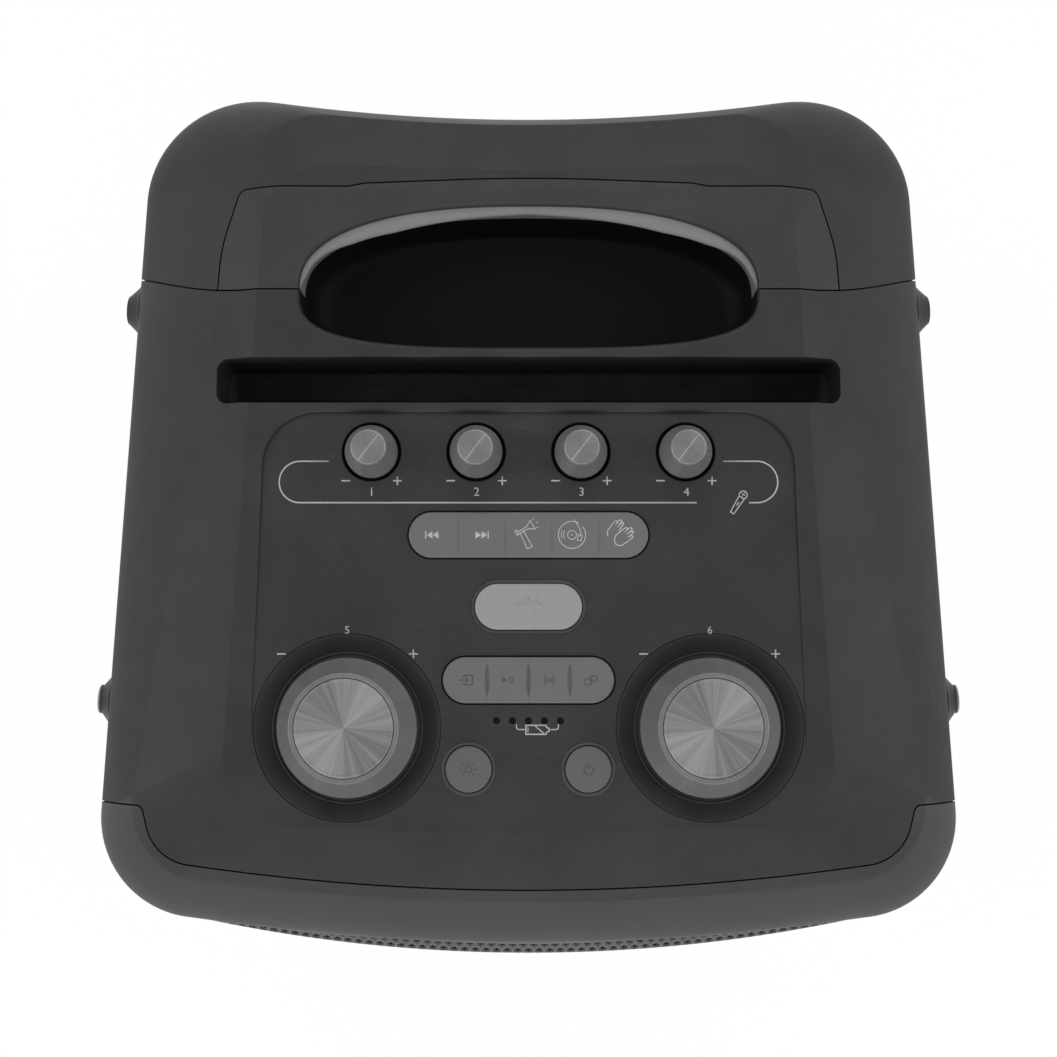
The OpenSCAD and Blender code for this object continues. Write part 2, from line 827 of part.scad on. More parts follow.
module cone(z) color([0.13, 0.13, 0.13]) {
  edge = woofer_r - 7.5 - 10.7 - 0.3;
  coil_end = -54 - 2 * cone_travel;
  translate([0, baffle_y - 1.5, z]) turn_front() {
    rotate_extrude()
      polygon([
        [edge, 0], [edge, 1], [edge - 5, 1], [30, -33], [18, -37], [18, coil_end],
        [19, coil_end], [19, -38.6], [31, -34.4], [edge - 4, -0.4]
      ]);
    translate([0, 0, -32.4])
      intersection() {
        difference() {
          translate([0, 0, -38]) sphere(50);
          translate([0, 0, -38]) sphere(49);
        }
        cylinder(h = 20, r = 31.5);
      }
  }
}

module light_rings() color([0.75, 0.75, 0.78]) {
  for (z = [lower_woofer_z, upper_woofer_z])
    translate([0, baffle_y, z]) turn_front()
      difference() {
        cylinder(h = 5, r = woofer_r + 7);
        translate([0, 0, -1]) cylinder(h = 7, r = woofer_r + 0.3);
      }
}

module horn_mouth(grow, depth) {
  translate([0, 0, depth])
    linear_extrude(eps) square([horn_w - 16 + grow, horn_h - 16 + grow], center = true);
}

module horn() color([0.14, 0.14, 0.14]) {
  translate([0, baffle_y, horn_z]) turn_front()
    difference() {
      union() {
        linear_extrude(3) rounded_bar(horn_w, horn_h, 6);
        hull() {
          horn_mouth(4, 0);
          translate([0, 0, -48]) cylinder(h = eps, r = 14);
        }
        translate([0, 0, -52]) cylinder(h = 5, r = 26);
      }
      hull() {
        horn_mouth(0, 3.1);
        translate([0, 0, -48]) cylinder(h = eps, r = 11);
      }
      translate([0, 0, -60]) cylinder(h = 20, r = 11);
    }
}

module horn_driver() color([0.2, 0.2, 0.22]) {
  translate([0, baffle_y, horn_z]) turn_front() {
    translate([0, 0, -82]) cylinder(h = 30, r = 38);
    translate([0, 0, -52]) cylinder(h = 8, r = 10.5);
  }
}

// Back assembly
module port_tube() color([0.1, 0.1, 0.1]) {
  translate([0, panel_seat_y, port_z]) rotate([-90, 0, 0])
    rotate_extrude()
      polygon([
        [port_r, -port_l], [port_r + 3, -port_l], [port_r + 3, 0], [port_r + 12, 0],
        [port_r + 12, 3], [port_r + 9, 3.6], [port_r + 5, 3], [port_r + 1.5, 0], [port_r, -5]
      ]);
}

module panel_hole(x, z, r) {
  translate([x, panel_seat_y - 50, panel_z + z]) rotate([-90, 0, 0]) cylinder(h = 100, r = r);
}

jack_xs = [panel_w / 2 - 24, panel_w / 2 - 24 - jack_pitch];
dial_z = -20;
inlet_x = -panel_w / 2 + 28;

module jack_panel() color([0.13, 0.13, 0.13]) {
  difference() {
    translate([0, panel_seat_y + panel_t, panel_z])
      turn_front() linear_extrude(panel_t) rounded_bar(panel_w, panel_h, 8);
    for (x = jack_xs) panel_hole(x, 16, 6.1);
    for (x = jack_xs) panel_hole(x, dial_z, 4.1);
    translate([inlet_x - 14, panel_seat_y - 10, panel_z - 10]) cube([28, 30, 20]);
    translate([-16, panel_seat_y - 10, panel_z + 10]) cube([14, 30, 7]);
    for (x = [-1, 1])
      for (z = [-1, 1])
        panel_hole(x * (panel_w / 2 - 6), z * (panel_h / 2 - 6), 1.7);
  }
}

// Two jack sockets, two line sockets and a USB socket
module input_jacks() color([0.2, 0.2, 0.2]) {
  for (x = jack_xs)
    translate([x, panel_seat_y, panel_z + 16]) rotate([-90, 0, 0])
      difference() {
        union() {
          translate([0, 0, -22]) cylinder(h = 22, r = 9);
          cylinder(h = panel_t + 2, r = 6);
        }
        translate([0, 0, -18]) cylinder(h = 40, r = jack_r);
      }
  for (x = jack_xs)
    translate([x, panel_seat_y, panel_z + dial_z]) rotate([-90, 0, 0])
      difference() {
        union() {
          translate([0, 0, -12]) cylinder(h = 12, r = 6);
          cylinder(h = panel_t + 6, r = 4);
        }
        translate([0, 0, -4]) cylinder(h = 20, r = 1.8);
      }
  translate([-15.9, panel_seat_y - 14, panel_z + 10.1])
    difference() {
      cube([13.8, 14 + panel_t, 6.8]);
      translate([0.6, 4, 0.6]) cube([12.6, 20, 5.6]);
    }
}

module mains_inlet() color([0.08, 0.08, 0.08]) {
  translate([inlet_x, panel_seat_y, panel_z])
    difference() {
      union() {
        translate([-13.9, -22, -9.9]) cube([27.8, 22 + panel_t, 19.8]);
        translate([-16, panel_t, -12]) cube([32, 2, 24]);
      }
      translate([-8.5, -15, -4.6]) cube([17, 30, 9.2]);
    }
  for (side = [-1, 1])
    translate([inlet_x + side * 5, panel_seat_y - 15 - eps, panel_z])
      rotate([-90, 0, 0]) cylinder(h = 12, r = 1.15);
}

module panel_screws() color([0.5, 0.5, 0.5]) {
  for (x = [-1, 1])
    for (z = [-1, 1])
      translate([x * (panel_w / 2 - 6), panel_seat_y + panel_t, panel_z + z * (panel_h / 2 - 6)])
        rotate([-90, 0, 0]) {
          cylinder(h = 1.6, r = 3);
          translate([0, 0, -panel_t]) cylinder(h = panel_t, r = 1.6);
        }
}

// The amplifier stands on four posts behind the connector panel
module amplifier_board() color([0.1, 0.3, 0.15]) {
  board_y = panel_seat_y - 32;
  translate([-60, board_y - 1.6, panel_z - 34]) cube([120, 1.6, 68]);
  for (x = [-1, 1])
    for (z = [-1, 1])
      translate([x * 54, panel_seat_y, panel_z + z * 30])
        turn_front() cylinder(h = 32, r = 2.5);
  translate([-50, board_y - 4.6, panel_z - 30]) cube([100, 3, 60]);
  for (i = [0:9])
    translate([-49 + i * 10.7, board_y - 26, panel_z - 30]) cube([1.8, 21.5, 60]);
}

module power_supply() color([0.6, 0.6, 0.6]) {
  translate([-55, 100, bottom_z + wall]) cube([110, 46, 50]);
}

module battery_pack() color([0.2, 0.25, 0.4]) {
  for (i = [0:5])
    for (j = [0:1])
      translate([-57.5 + i * 23, 10 + j * 23, bottom_z + wall]) cylinder(h = 70, r = 11.4);
}

// Control deck
module control_board() color([0.1, 0.3, 0.15]) {
  difference() {
    translate([-104, -114, board_z - board_t]) cube([208, 150, board_t]);
    at_board_posts(board_z - 5) cylinder(h = 10, r = 1.5);
  }
}

module knob_dishes() color([0.17, 0.17, 0.17]) {
  at_large_knobs()
    translate([0, 0, deck_z]) rotate_extrude()
      polygon([
        [4, -dish_depth - 1.6], [dish_r - 3, -dish_depth - 1.6], [dish_r, -wall - 1.5],
        [dish_r, -0.4], [dish_r - 0.8, -0.4], [dish_r - 6, -dish_depth + 0.6],
        [large_r + 1.4, -dish_depth], [4, -dish_depth]
      ]);
  dish_flanges();
}

// Flanges that catch under the deck, cut away where its shoulder slopes down
module dish_flanges() {
  intersection() {
    at_large_knobs()
      translate([0, 0, under_z - 1.5])
        difference() {
          cylinder(h = 1.2, r = dish_r + 1.6);
          translate([0, 0, -1]) cylinder(h = 4, r = dish_r - 1);
        }
    cabinet_solid(wall + 0.2);
  }
}

// A rotary part's body on the board, with the bearing for its spindle
module rotary_body(top_z, size) {
  translate([0, 0, board_z]) difference() {
    union() {
      translate([-size / 2, -size / 2, 0]) cube([size, size, 6]);
      cylinder(h = top_z - board_z, r = spindle_r + 1.6);
    }
    translate([0, 0, 1]) cylinder(h = 30, r = spindle_r + spindle_fit);
  }
}

module potentiometers() color([0.5, 0.5, 0.52]) {
  at_small_knobs() rotary_body(small_well_z - 2.2, 12);
}

module encoders() color([0.5, 0.5, 0.52]) {
  at_large_knobs() rotary_body(deck_z - dish_depth - 1.8, 14);
}

module tact_switches() color([0.15, 0.15, 0.15]) {
  for (p = key_places)
    translate([p[0], p[1], board_z]) {
      translate([-3, -3, 0]) cube([6, 6, switch_h - 1]);
      cylinder(h = switch_h, r = 1.7);
    }
}

module battery_lights() color([0.9, 0.9, 0.9]) {
  for (i = [-2:2])
    translate([i * light_pitch, light_y, board_z]) cylinder(h = field_z(light_y) - board_z, r = light_r);
}

// A small knob with its spindle, which is a separate piece pressed into the knob
module small_knob(i) color([0.55, 0.55, 0.54]) {
  translate([(i - 1.5) * small_pitch, small_y, 0]) {
    translate([0, 0, deck_z])
      difference() {
        rotate_extrude()
          polygon(concat(
            [[0, -5], [small_r, -5], [small_r, 0.6]],
            [for (t = [0.2:0.2:1])
              [blend(small_r, small_cap_r + 0.5, sin(90 * t)), blend(0.6, 6, 1 - cos(90 * t))]],
            [[small_cap_r, small_h - 0.7], [small_cap_r - 0.7, small_h], [0, small_h]]
          ));
        translate([0, 0, -6]) cylinder(h = 14, r = spindle_r + spindle_fit);
      }
    translate([0, 0, board_z + 1.3]) cylinder(h = deck_z + 7.9 - board_z - 1.3, r = spindle_r);
  }
}

module large_knob(side) color([0.4, 0.4, 0.4]) {
  translate([side * large_x, large_y, 0]) {
    translate([0, 0, deck_z])
      difference() {
        rotate_extrude()
          polygon(concat(
            [[0, 0.6 - dish_depth], [large_r, 0.6 - dish_depth], [large_r, 1]],
            [for (t = [0.2:0.2:1])
              [blend(large_r, large_cap_r + 2.6, sin(90 * t)), blend(1, 9, 1 - cos(90 * t))]],
            [[large_cap_r + 2, large_h - 0.8], [large_cap_r + 1.2, large_h], [large_cap_r + 0.2, large_h],
             [large_cap_r + 0.2, large_h - 2], [0, large_h - 2]]
          ));
        translate([0, 0, -6]) cylinder(h = 12, r = spindle_r + spindle_fit);
      }
    translate([0, 0, board_z + 1.3]) cylinder(h = deck_z + 5.9 - board_z - 1.3, r = spindle_r);
  }
}

module large_cap(side) color([0.56, 0.56, 0.55]) {
  translate([side * large_x, large_y, deck_z + large_h - 2])
    rotate_extrude()
      polygon([[0, 0], [large_cap_r, 0], [large_cap_r, 1.6], [large_cap_r - 0.5, 2.1], [0, 2.4]]);
}

// The part of a key below its cap: a flange under the deck and a stem down to the switch
module key_stem(x, y) {
  translate([x, y, board_z + switch_h + key_travel + 0.1])
    cylinder(h = under_z - board_z - switch_h - key_travel - 1, r = 2.5);
}

// Key i of a row of n, cut from one long pill
module row_key(l, pitch, y, i, n) color([0.45, 0.45, 0.44]) {
  first = i == 0 ? -far : (i - n / 2) * pitch + split_gap / 2;
  last = i == n - 1 ? far : (i + 1 - n / 2) * pitch - split_gap / 2;
  flange_z = under_z - 0.3 - key_flange_t;
  intersection() {
    union() {
      translate([0, y, flange_z]) pill(l, key_w, field_z(y) + key_proud - flange_z);
      translate([0, y, flange_z]) pill(l + 2 * key_flange, key_w + 2 * key_flange, key_flange_t);
    }
    translate([first, y - key_w, flange_z - 1]) cube([last - first, 2 * key_w, 40]);
  }
  key_stem((i + 0.5 - n / 2) * pitch, y);
}

module boost_key() color([0.58, 0.58, 0.57]) {
  flange_z = under_z - 0.3 - key_flange_t;
  translate([0, boost_y, flange_z]) {
    pill(boost_l, key_w, field_z(boost_y) + key_proud + 0.6 - flange_z);
    pill(boost_l + 4 * key_gap + 2 * key_flange, key_w + 4 * key_gap + 2 * key_flange, key_flange_t);
  }
  key_stem(0, boost_y);
}

module round_key(side) color([0.3, 0.3, 0.3]) {
  flange_z = under_z - 0.3 - key_flange_t;
  translate([side * round_x, round_y, flange_z]) {
    cylinder(h = field_z(round_y) + key_proud - flange_z, r = round_r);
    cylinder(h = key_flange_t, r = round_r + 2 * key_gap + key_flange);
  }
  key_stem(side * round_x, round_y);
}

// Side and base fittings
function side_x(y) = front_w / 2 - (y - front_y) * tan(side_tilt);

module at_studs(ys) {
  for (side = [0, 1])
    for (y = ys)
      mirror([side, 0, 0])
        translate([side_x(y), y, deck_z - stud_drop])
          rotate([0, 90, side_tilt]) children();
}

module stud_holes() {
  at_studs([front_stud_y, rear_stud_y]) translate([0, 0, -20]) cylinder(h = 40, r = 3.1);
}

// A strap stud: a hollow-flanked foot, a round neck and a threaded shank with its nut inside
module strap_stud(l) {
  rotate_extrude()
    polygon(concat(
      [[0, 0]],
      [for (t = [0:0.2:1])
        [blend(stud_r, stud_neck_r, pow(t, flank_power)), blend(0.6, l - 0.4, t)]],
      [[stud_neck_r, l], [0, l]]
    ));
  translate([0, 0, -wall - 6]) cylinder(h = wall + 7, r = 3);
  translate([0, 0, -wall - 4]) cylinder(h = 4, r = 6, $fn = 6);
}

module strap_studs() color([0.2, 0.2, 0.2]) {
  at_studs([rear_stud_y]) strap_stud(stud_l);
  at_studs([front_stud_y]) strap_stud(stud_l - stud_cap_t);
}

module stud_caps() color([0.55, 0.55, 0.54]) {
  at_studs([front_stud_y])
    translate([0, 0, stud_l - stud_cap_t]) cylinder(h = stud_cap_t, r = stud_neck_r);
}

module feet() color([0.06, 0.06, 0.06]) {
  for (x = [-1, 1])
    for (y = [front_seam_y + 24, rear_seam_y - 12])
      translate([x * 112, y, 0]) {
        cylinder(h = bottom_z, r1 = foot_r, r2 = foot_r + 2);
      }
}

top_deck();
main_cabinet();
rear_shell();
front_frame();
grille();
handle_cover();
handle_grip();
handle_cup();
baffle_board();
basket(upper_woofer_z);  // upper_basket
basket(lower_woofer_z);  // lower_basket
magnet(upper_woofer_z);  // upper_magnet
magnet(lower_woofer_z);  // lower_magnet
surrounds();
light_rings();
horn();
horn_driver();
port_tube();
jack_panel();
input_jacks();
mains_inlet();
amplifier_board();
power_supply();
battery_pack();
control_board();
knob_dishes();
potentiometers();
encoders();
tact_switches();
battery_lights();
strap_studs();
stud_caps();
feet();
panel_screws();
small_knob(0);  // mic_knob
small_knob(1);  // bass_knob
small_knob(2);  // treble_knob
small_knob(3);  // echo_knob
large_knob(1);  // volume_knob
large_cap(1);  // volume_cap
large_knob(-1);  // light_knob
large_cap(-1);  // light_cap
row_key(upper_row_l, upper_pitch, upper_row_y, 0, 5);  // back_key
row_key(upper_row_l, upper_pitch, upper_row_y, 1, 5);  // next_key
row_key(upper_row_l, upper_pitch, upper_row_y, 2, 5);  // horn_key
row_key(upper_row_l, upper_pitch, upper_row_y, 3, 5);  // scratch_key
row_key(upper_row_l, upper_pitch, upper_row_y, 4, 5);  // clap_key
boost_key();
row_key(lower_row_l, lower_pitch, lower_row_y, 0, 4);  // source_key
row_key(lower_row_l, lower_pitch, lower_row_y, 1, 4);  // play_key
row_key(lower_row_l, lower_pitch, lower_row_y, 2, 4);  // pair_key
row_key(lower_row_l, lower_pitch, lower_row_y, 3, 4);  // link_key
round_key(-1);  // lamp_key
round_key(1);  // power_key
cone(upper_woofer_z);  // upper_cone
cone(lower_woofer_z);  // lower_cone
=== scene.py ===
# %% [markdown]
# This notebook dresses a karaoke party speaker that was built as solids in millimetres.
# The solids come in as a fixed frame in metres. Shells that need a smoother skin than the solids
# have are made again here from the same outlines, and everything gets a procedural finish.

# %% Load the frame
import json
import math
import bmesh
import bpy
import numpy as np
from mathutils import Matrix, Vector

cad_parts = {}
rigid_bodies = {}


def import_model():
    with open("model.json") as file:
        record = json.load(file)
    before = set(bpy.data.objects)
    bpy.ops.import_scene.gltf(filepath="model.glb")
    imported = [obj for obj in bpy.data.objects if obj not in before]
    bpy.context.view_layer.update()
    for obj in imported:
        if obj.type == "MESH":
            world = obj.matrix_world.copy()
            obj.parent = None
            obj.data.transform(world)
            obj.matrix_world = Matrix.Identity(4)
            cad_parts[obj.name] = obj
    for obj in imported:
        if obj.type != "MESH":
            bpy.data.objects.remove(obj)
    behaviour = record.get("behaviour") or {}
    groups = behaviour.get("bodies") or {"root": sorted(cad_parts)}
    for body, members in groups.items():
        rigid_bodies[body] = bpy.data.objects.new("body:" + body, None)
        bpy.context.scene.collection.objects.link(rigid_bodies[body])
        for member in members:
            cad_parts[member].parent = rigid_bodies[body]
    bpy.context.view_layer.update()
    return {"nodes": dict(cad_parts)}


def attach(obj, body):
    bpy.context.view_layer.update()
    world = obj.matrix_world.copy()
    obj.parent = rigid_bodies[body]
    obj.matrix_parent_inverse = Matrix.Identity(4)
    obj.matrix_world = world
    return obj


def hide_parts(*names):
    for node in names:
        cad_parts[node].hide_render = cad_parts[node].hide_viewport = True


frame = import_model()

MM = 0.001

# %% [markdown]
# The photograph looks straight down on the deck from arm's length. The lens and the distance were
# found from the knobs: a knob's top lies further from the middle of the picture than its foot,
# and by how much tells the distance.

# %% Camera
DECK = 665.0
CAMERA_ABOVE_DECK = 760.0
CAMERA_BACK = -65.0
CAMERA_TILT = 4.5
PICTURE_PIXELS = 1057
FOCAL_PIXELS = 1987
SENSOR = 36


def make_camera():
    data = bpy.data.cameras.new("overhead_camera")
    data.sensor_width = data.sensor_height = SENSOR
    data.lens = FOCAL_PIXELS / PICTURE_PIXELS * SENSOR
    data.clip_start = 0.05
    data.clip_end = 20
    camera = bpy.data.objects.new("overhead_camera", data)
    camera.location = (0, CAMERA_BACK * MM, (DECK + CAMERA_ABOVE_DECK) * MM)
    camera.rotation_euler = (math.radians(CAMERA_TILT), 0, 0)
    bpy.context.scene.collection.objects.link(camera)
    bpy.context.scene.camera = camera
    return camera


camera = make_camera()
bpy.context.scene.view_settings.view_transform = "Standard"
print("lens:", round(camera.data.lens, 2), "mm")

# %% [markdown]
# Studio light for a dark product is mostly soft: the sky does most of the work, and four soft
# panels give the moulded shoulders their slow gradients. The floor is pale. Rays of the camera, of
# reflections and of glass meet a white backdrop, and the floor still takes the object's shadow.

# %% Node helpers
def feed(tree, socket, value):
    """Gives a socket another socket's value, or a plain one."""
    if isinstance(value, bpy.types.NodeSocket):
        tree.links.new(value, socket)
    else:
        socket.default_value = value


def math_node(tree, operation, *values, clamp=False):
    node = tree.nodes.new("ShaderNodeMath")
    node.operation = operation
    node.use_clamp = clamp
    for socket, value in zip(node.inputs, values):
        feed(tree, socket, value)
    return node.outputs[0]


def plain_node(tree, kind, grey, strength=None):
    """A background, a glow or a matt surface of one grey."""
    node = tree.nodes.new(kind)
    node.inputs["Color"].default_value = (grey, grey, grey, 1)
    if strength is not None:
        node.inputs["Strength"].default_value = strength
    return node.outputs[0]


def mix_surface(tree, sink, share, first, second):
    mix = tree.nodes.new("ShaderNodeMixShader")
    for socket, value in zip(mix.inputs, (share, first, second)):
        feed(tree, socket, value)
    feed(tree, tree.nodes.new(sink).inputs["Surface"], mix.outputs[0])


# %% Light and floor
WORLD_FILL = 0.45
FLOOR_REACH, FLOOR_GREY = 6.0, 0.8
BACKDROP_GLOW, BACKDROP_SHARE = 1.03, 0.93
PANELS = {  # place, aim, size in metres, and power
    "rear_panel": ((0.0, 1.6, 2.0), (0, 0.05, 0.6), (1.4, 0.5), 6),
    "front_panel": ((0.0, -2.0, 1.35), (0, 0, 0.6), (1.4, 0.5), 12),
    "left_panel": ((-1.7, 0.0, 1.75), (0, 0, 0.6), (0.5, 1.2), 8),
    "right_panel": ((1.7, 0.0, 1.75), (0, 0, 0.6), (0.5, 1.2), 8),
}


def soft_panel(name, place, aim, size, power):
    data = bpy.data.lights.new(name, "AREA")
    data.shape = "RECTANGLE"
    data.size, data.size_y = size
    data.energy = power
    lamp = bpy.data.objects.new(name, data)
    lamp.location = place
    lamp.rotation_euler = (Vector(aim) - Vector(place)).to_track_quat("-Z", "Y").to_euler()
    bpy.context.scene.collection.objects.link(lamp)


def sees_backdrop(tree):
    """One for rays of the camera, of reflections and of glass, which all meet the white studio."""
    paths = tree.nodes.new("ShaderNodeLightPath")
    total = paths.outputs["Is Camera Ray"]
    for label in ("Is Glossy Ray", "Is Transmission Ray"):
        total = math_node(tree, "MAXIMUM", total, paths.outputs[label])
    return total


def white_world():
    world = bpy.data.worlds.new("studio")
    bpy.context.scene.world = world
    world.use_nodes = True
    tree = world.node_tree
    tree.nodes.clear()
    mix_surface(tree, "ShaderNodeOutputWorld", sees_backdrop(tree),
                plain_node(tree, "ShaderNodeBackground", 1, WORLD_FILL),
                plain_node(tree, "ShaderNodeBackground", 1, 1.0))


def pale_floor():
    mesh = bpy.data.meshes.new("floor")
    corners = [(x * FLOOR_REACH, y * FLOOR_REACH, 0)
               for x, y in ((-1, -1), (1, -1), (1, 1), (-1, 1))]
    mesh.from_pydata(corners, [], [(0, 1, 2, 3)])
    floor = bpy.data.objects.new("floor", mesh)
    bpy.context.scene.collection.objects.link(floor)
    material = bpy.data.materials.new("pale_floor")
    material.use_nodes = True
    tree = material.node_tree
    tree.nodes.clear()
    mix_surface(tree, "ShaderNodeOutputMaterial",
                math_node(tree, "MULTIPLY", sees_backdrop(tree), BACKDROP_SHARE),
                plain_node(tree, "ShaderNodeBsdfDiffuse", FLOOR_GREY),
                plain_node(tree, "ShaderNodeEmission", 1, BACKDROP_GLOW))
    mesh.materials.append(material)


white_world()
pale_floor()
for name, values in PANELS.items():
    soft_panel(name, *values)

# %% [markdown]
# Moulded plastic is never one flat colour. A fine texture from the mould breaks up its shine, big
# soft patches differ a little in gloss, edges are rubbed lighter, and this lightening is also a
# painted highlight on convex edges, and dust settles on what faces up. Each effect is one node
# group with its own inputs, so that every plastic can use it in its own strength. The groups put
# out plain values; the shader stays in the material.

# %% Node group helpers
def new_group(name, inputs, outputs):
    """A group of plain numbers: its inputs with the values they start at, and its outputs."""
    group = bpy.data.node_groups.new(name, "ShaderNodeTree")
    for label, value in inputs.items():
        socket = group.interface.new_socket(label, in_out="INPUT", socket_type="NodeSocketFloat")
        socket.default_value = value
    for label in outputs:
        group.interface.new_socket(label, in_out="OUTPUT", socket_type="NodeSocketFloat")
    return group, group.nodes.new("NodeGroupInput"), group.nodes.new("NodeGroupOutput")


def map_range(tree, value, low, high, new_low=0.0, new_high=1.0):
    node = tree.nodes.new("ShaderNodeMapRange")
    for label, number in (("Value", value), ("From Min", low), ("From Max", high),
                          ("To Min", new_low), ("To Max", new_high)):
        feed(tree, node.inputs[label], number)
    return node.outputs[0]


def noise(tree, vector, scale, detail=3.0, roughness=0.5):
    node = tree.nodes.new("ShaderNodeTexNoise")
    for label, value in (("Vector", vector), ("Scale", scale), ("Detail", detail),
                         ("Roughness", roughness)):
        feed(tree, node.inputs[label], value)
    return node.outputs["Fac"]


def patches(tree, vector, scale, detail, roughness, low, high):
    """Noise stretched so that it is nothing at low and full at high."""
    return map_range(tree, noise(tree, vector, scale, detail, roughness), low, high)


def object_place(tree):
    return tree.nodes.new("ShaderNodeTexCoord").outputs["Object"]


def separated(tree, vector):
    split = tree.nodes.new("ShaderNodeSeparateXYZ")
    feed(tree, split.inputs[0], vector)
    return split.outputs


def mask_group(name, amount, factors):
    """A group that puts out the product of two masks and its own amount."""
    tree, source, sink = new_group(name, {"Amount": amount}, ["Mask"])
    both = math_node(tree, "MULTIPLY", *factors(tree))
    feed(tree, sink.inputs["Mask"],
         math_node(tree, "MULTIPLY", both, source.outputs["Amount"], clamp=True))
    return tree


# %% Node groups
PAINTED_FAN_TURN, PAINTED_FAN_STRENGTH = 1.6, 0.35


def build_moulded_grain():
    tree, source, sink = new_group(
        "moulded_grain", {"Grain Scale": 1800.0, "Mottle Scale": 14.0}, ["Height", "Mottle"])
    place, scale = object_place(tree), source.outputs["Grain Scale"]
    cells = tree.nodes.new("ShaderNodeTexVoronoi")
    feed(tree, cells.inputs["Vector"], place)
    feed(tree, cells.inputs["Scale"], scale)
    coarse = math_node(tree, "MULTIPLY", cells.outputs["Distance"], 0.6)
    fine = math_node(tree, "MULTIPLY", noise(tree, place, scale, 2.0), 0.5)
    feed(tree, sink.inputs["Height"], math_node(tree, "ADD", coarse, fine))
    feed(tree, sink.inputs["Mottle"],
         patches(tree, place, source.outputs["Mottle Scale"], 4.0, 0.6, 0.3, 0.7))
    return tree


def build_painted_spun_reflection():
    tree, source, sink = new_group(
        "painted_spun_reflection", {"Wedges": 2.2, "Rings": 9000.0}, ["Streak", "Height"])
    place = separated(tree, object_place(tree))
    angle = math_node(tree, "ARCTAN2", place["Y"], place["X"])
    around = tree.nodes.new("ShaderNodeCombineXYZ")
    feed(tree, around.inputs["X"], math_node(tree, "COSINE", angle))
    feed(tree, around.inputs["Y"], math_node(tree, "SINE", angle))
    # Painted reflection: broad wedges of light and dark around the axis, as spun metal reflects
    broad = patches(tree, around.outputs[0], source.outputs["Wedges"], 3.0, 0.75, 0.3, 0.7)
    # Painted reflection: two bright fans face each other, as lamps on two sides would give on
    # turned metal
    twice = math_node(tree, "MULTIPLY", angle, 2.0)
    fans = math_node(tree, "COSINE", math_node(tree, "SUBTRACT", twice, PAINTED_FAN_TURN))
    feed(tree, sink.inputs["Streak"],
         math_node(tree, "ADD", broad, math_node(tree, "MULTIPLY", fans, PAINTED_FAN_STRENGTH)))
    squares = [math_node(tree, "POWER", place[axis], 2.0) for axis in "XY"]
    reach = math_node(tree, "SQRT", math_node(tree, "ADD", *squares))
    waves = math_node(tree, "MULTIPLY", reach, source.outputs["Rings"])
    feed(tree, sink.inputs["Height"], math_node(tree, "SINE", waves))
    return tree


def rubbed_and_highlit_edges(tree):
    # Convex edges turn lighter: rubbed wear, and also a painted highlight line where edges catch
    # light
    pointiness = tree.nodes.new("ShaderNodeNewGeometry").outputs["Pointiness"]
    return (map_range(tree, pointiness, 0.51, 0.58),
            patches(tree, object_place(tree), 90.0, 5.0, 0.65, 0.35, 0.7))


def dust_on_top(tree):
    facing = separated(tree, tree.nodes.new("ShaderNodeNewGeometry").outputs["Normal"])
    return (map_range(tree, facing["Z"], 0.3, 0.98),
            patches(tree, object_place(tree), 38.0, 8.0, 0.7, 0.35, 0.75))


def specks_in_patches(tree):
    place = object_place(tree)
    return (patches(tree, place, 1400.0, 3.0, 0.7, 0.5, 0.75),
            patches(tree, place, 60.0, 2.0, 0.5, 0.4, 0.65))


MOULDED_GRAIN = build_moulded_grain()
EDGE_WEAR_AND_HIGHLIGHT = mask_group("edge_wear_and_highlight", 0.5, rubbed_and_highlit_edges)
SETTLED_DUST = mask_group("settled_dust", 0.05, dust_on_top)
PAINTED_SPUN_REFLECTION = build_painted_spun_reflection()
PRINT_WEAR = mask_group("print_wear", 0.3, specks_in_patches)
print("node groups:", [g.name for g in bpy.data.node_groups])

# %% [markdown]
# A material here starts from a grey level as one reads it off a screen, so it is turned into
# linear light first. The base colour of a moulded piece is mixed three times: mottle, dust and
# worn edges, and the worn edges also carry a painted highlight. A turned one gets painted
# reflection fans instead. The grain is bump, never a picture.

# %% Materials
FINISH = {}
DUST_LEVEL = 150
RUBBED_AND_HIGHLIT = 0.5


def screen_grey(level, tint=(1.0, 1.0, 1.0)):
    value = level / 255
    linear = value / 12.92 if value <= 0.04045 else ((value + 0.055) / 1.055) ** 2.4
    return tuple(linear * t for t in tint) + (1.0,)


def place_group(tree, group, **values):
    node = tree.nodes.new("ShaderNodeGroup")
    node.node_tree = group
    for label, value in values.items():
        node.inputs[label.replace("_", " ")].default_value = value
    return node


def mix_colour(tree, mask, first, second):
    node = tree.nodes.new("ShaderNodeMix")
    node.data_type = "RGBA"
    for index, value in ((0, mask), (6, first), (7, second)):
        feed(tree, node.inputs[index], value)
    return node.outputs[2]


def start_material(name, roughness, metallic=0.0, specular=0.5):
    material = FINISH[name] = bpy.data.materials.new(name)
    material.use_nodes = True
    shader = material.node_tree.nodes["Principled BSDF"]
    shader.inputs["Roughness"].default_value = roughness
    shader.inputs["Metallic"].default_value = metallic
    shader.inputs["Specular IOR Level"].default_value = specular
    return material.node_tree, shader


def bump(tree, shader, height, strength, distance):
    node = tree.nodes.new("ShaderNodeBump")
    for label, value in (("Strength", strength), ("Distance", distance), ("Height", height)):
        feed(tree, node.inputs[label], value)
    feed(tree, shader.inputs["Normal"], node.outputs[0])


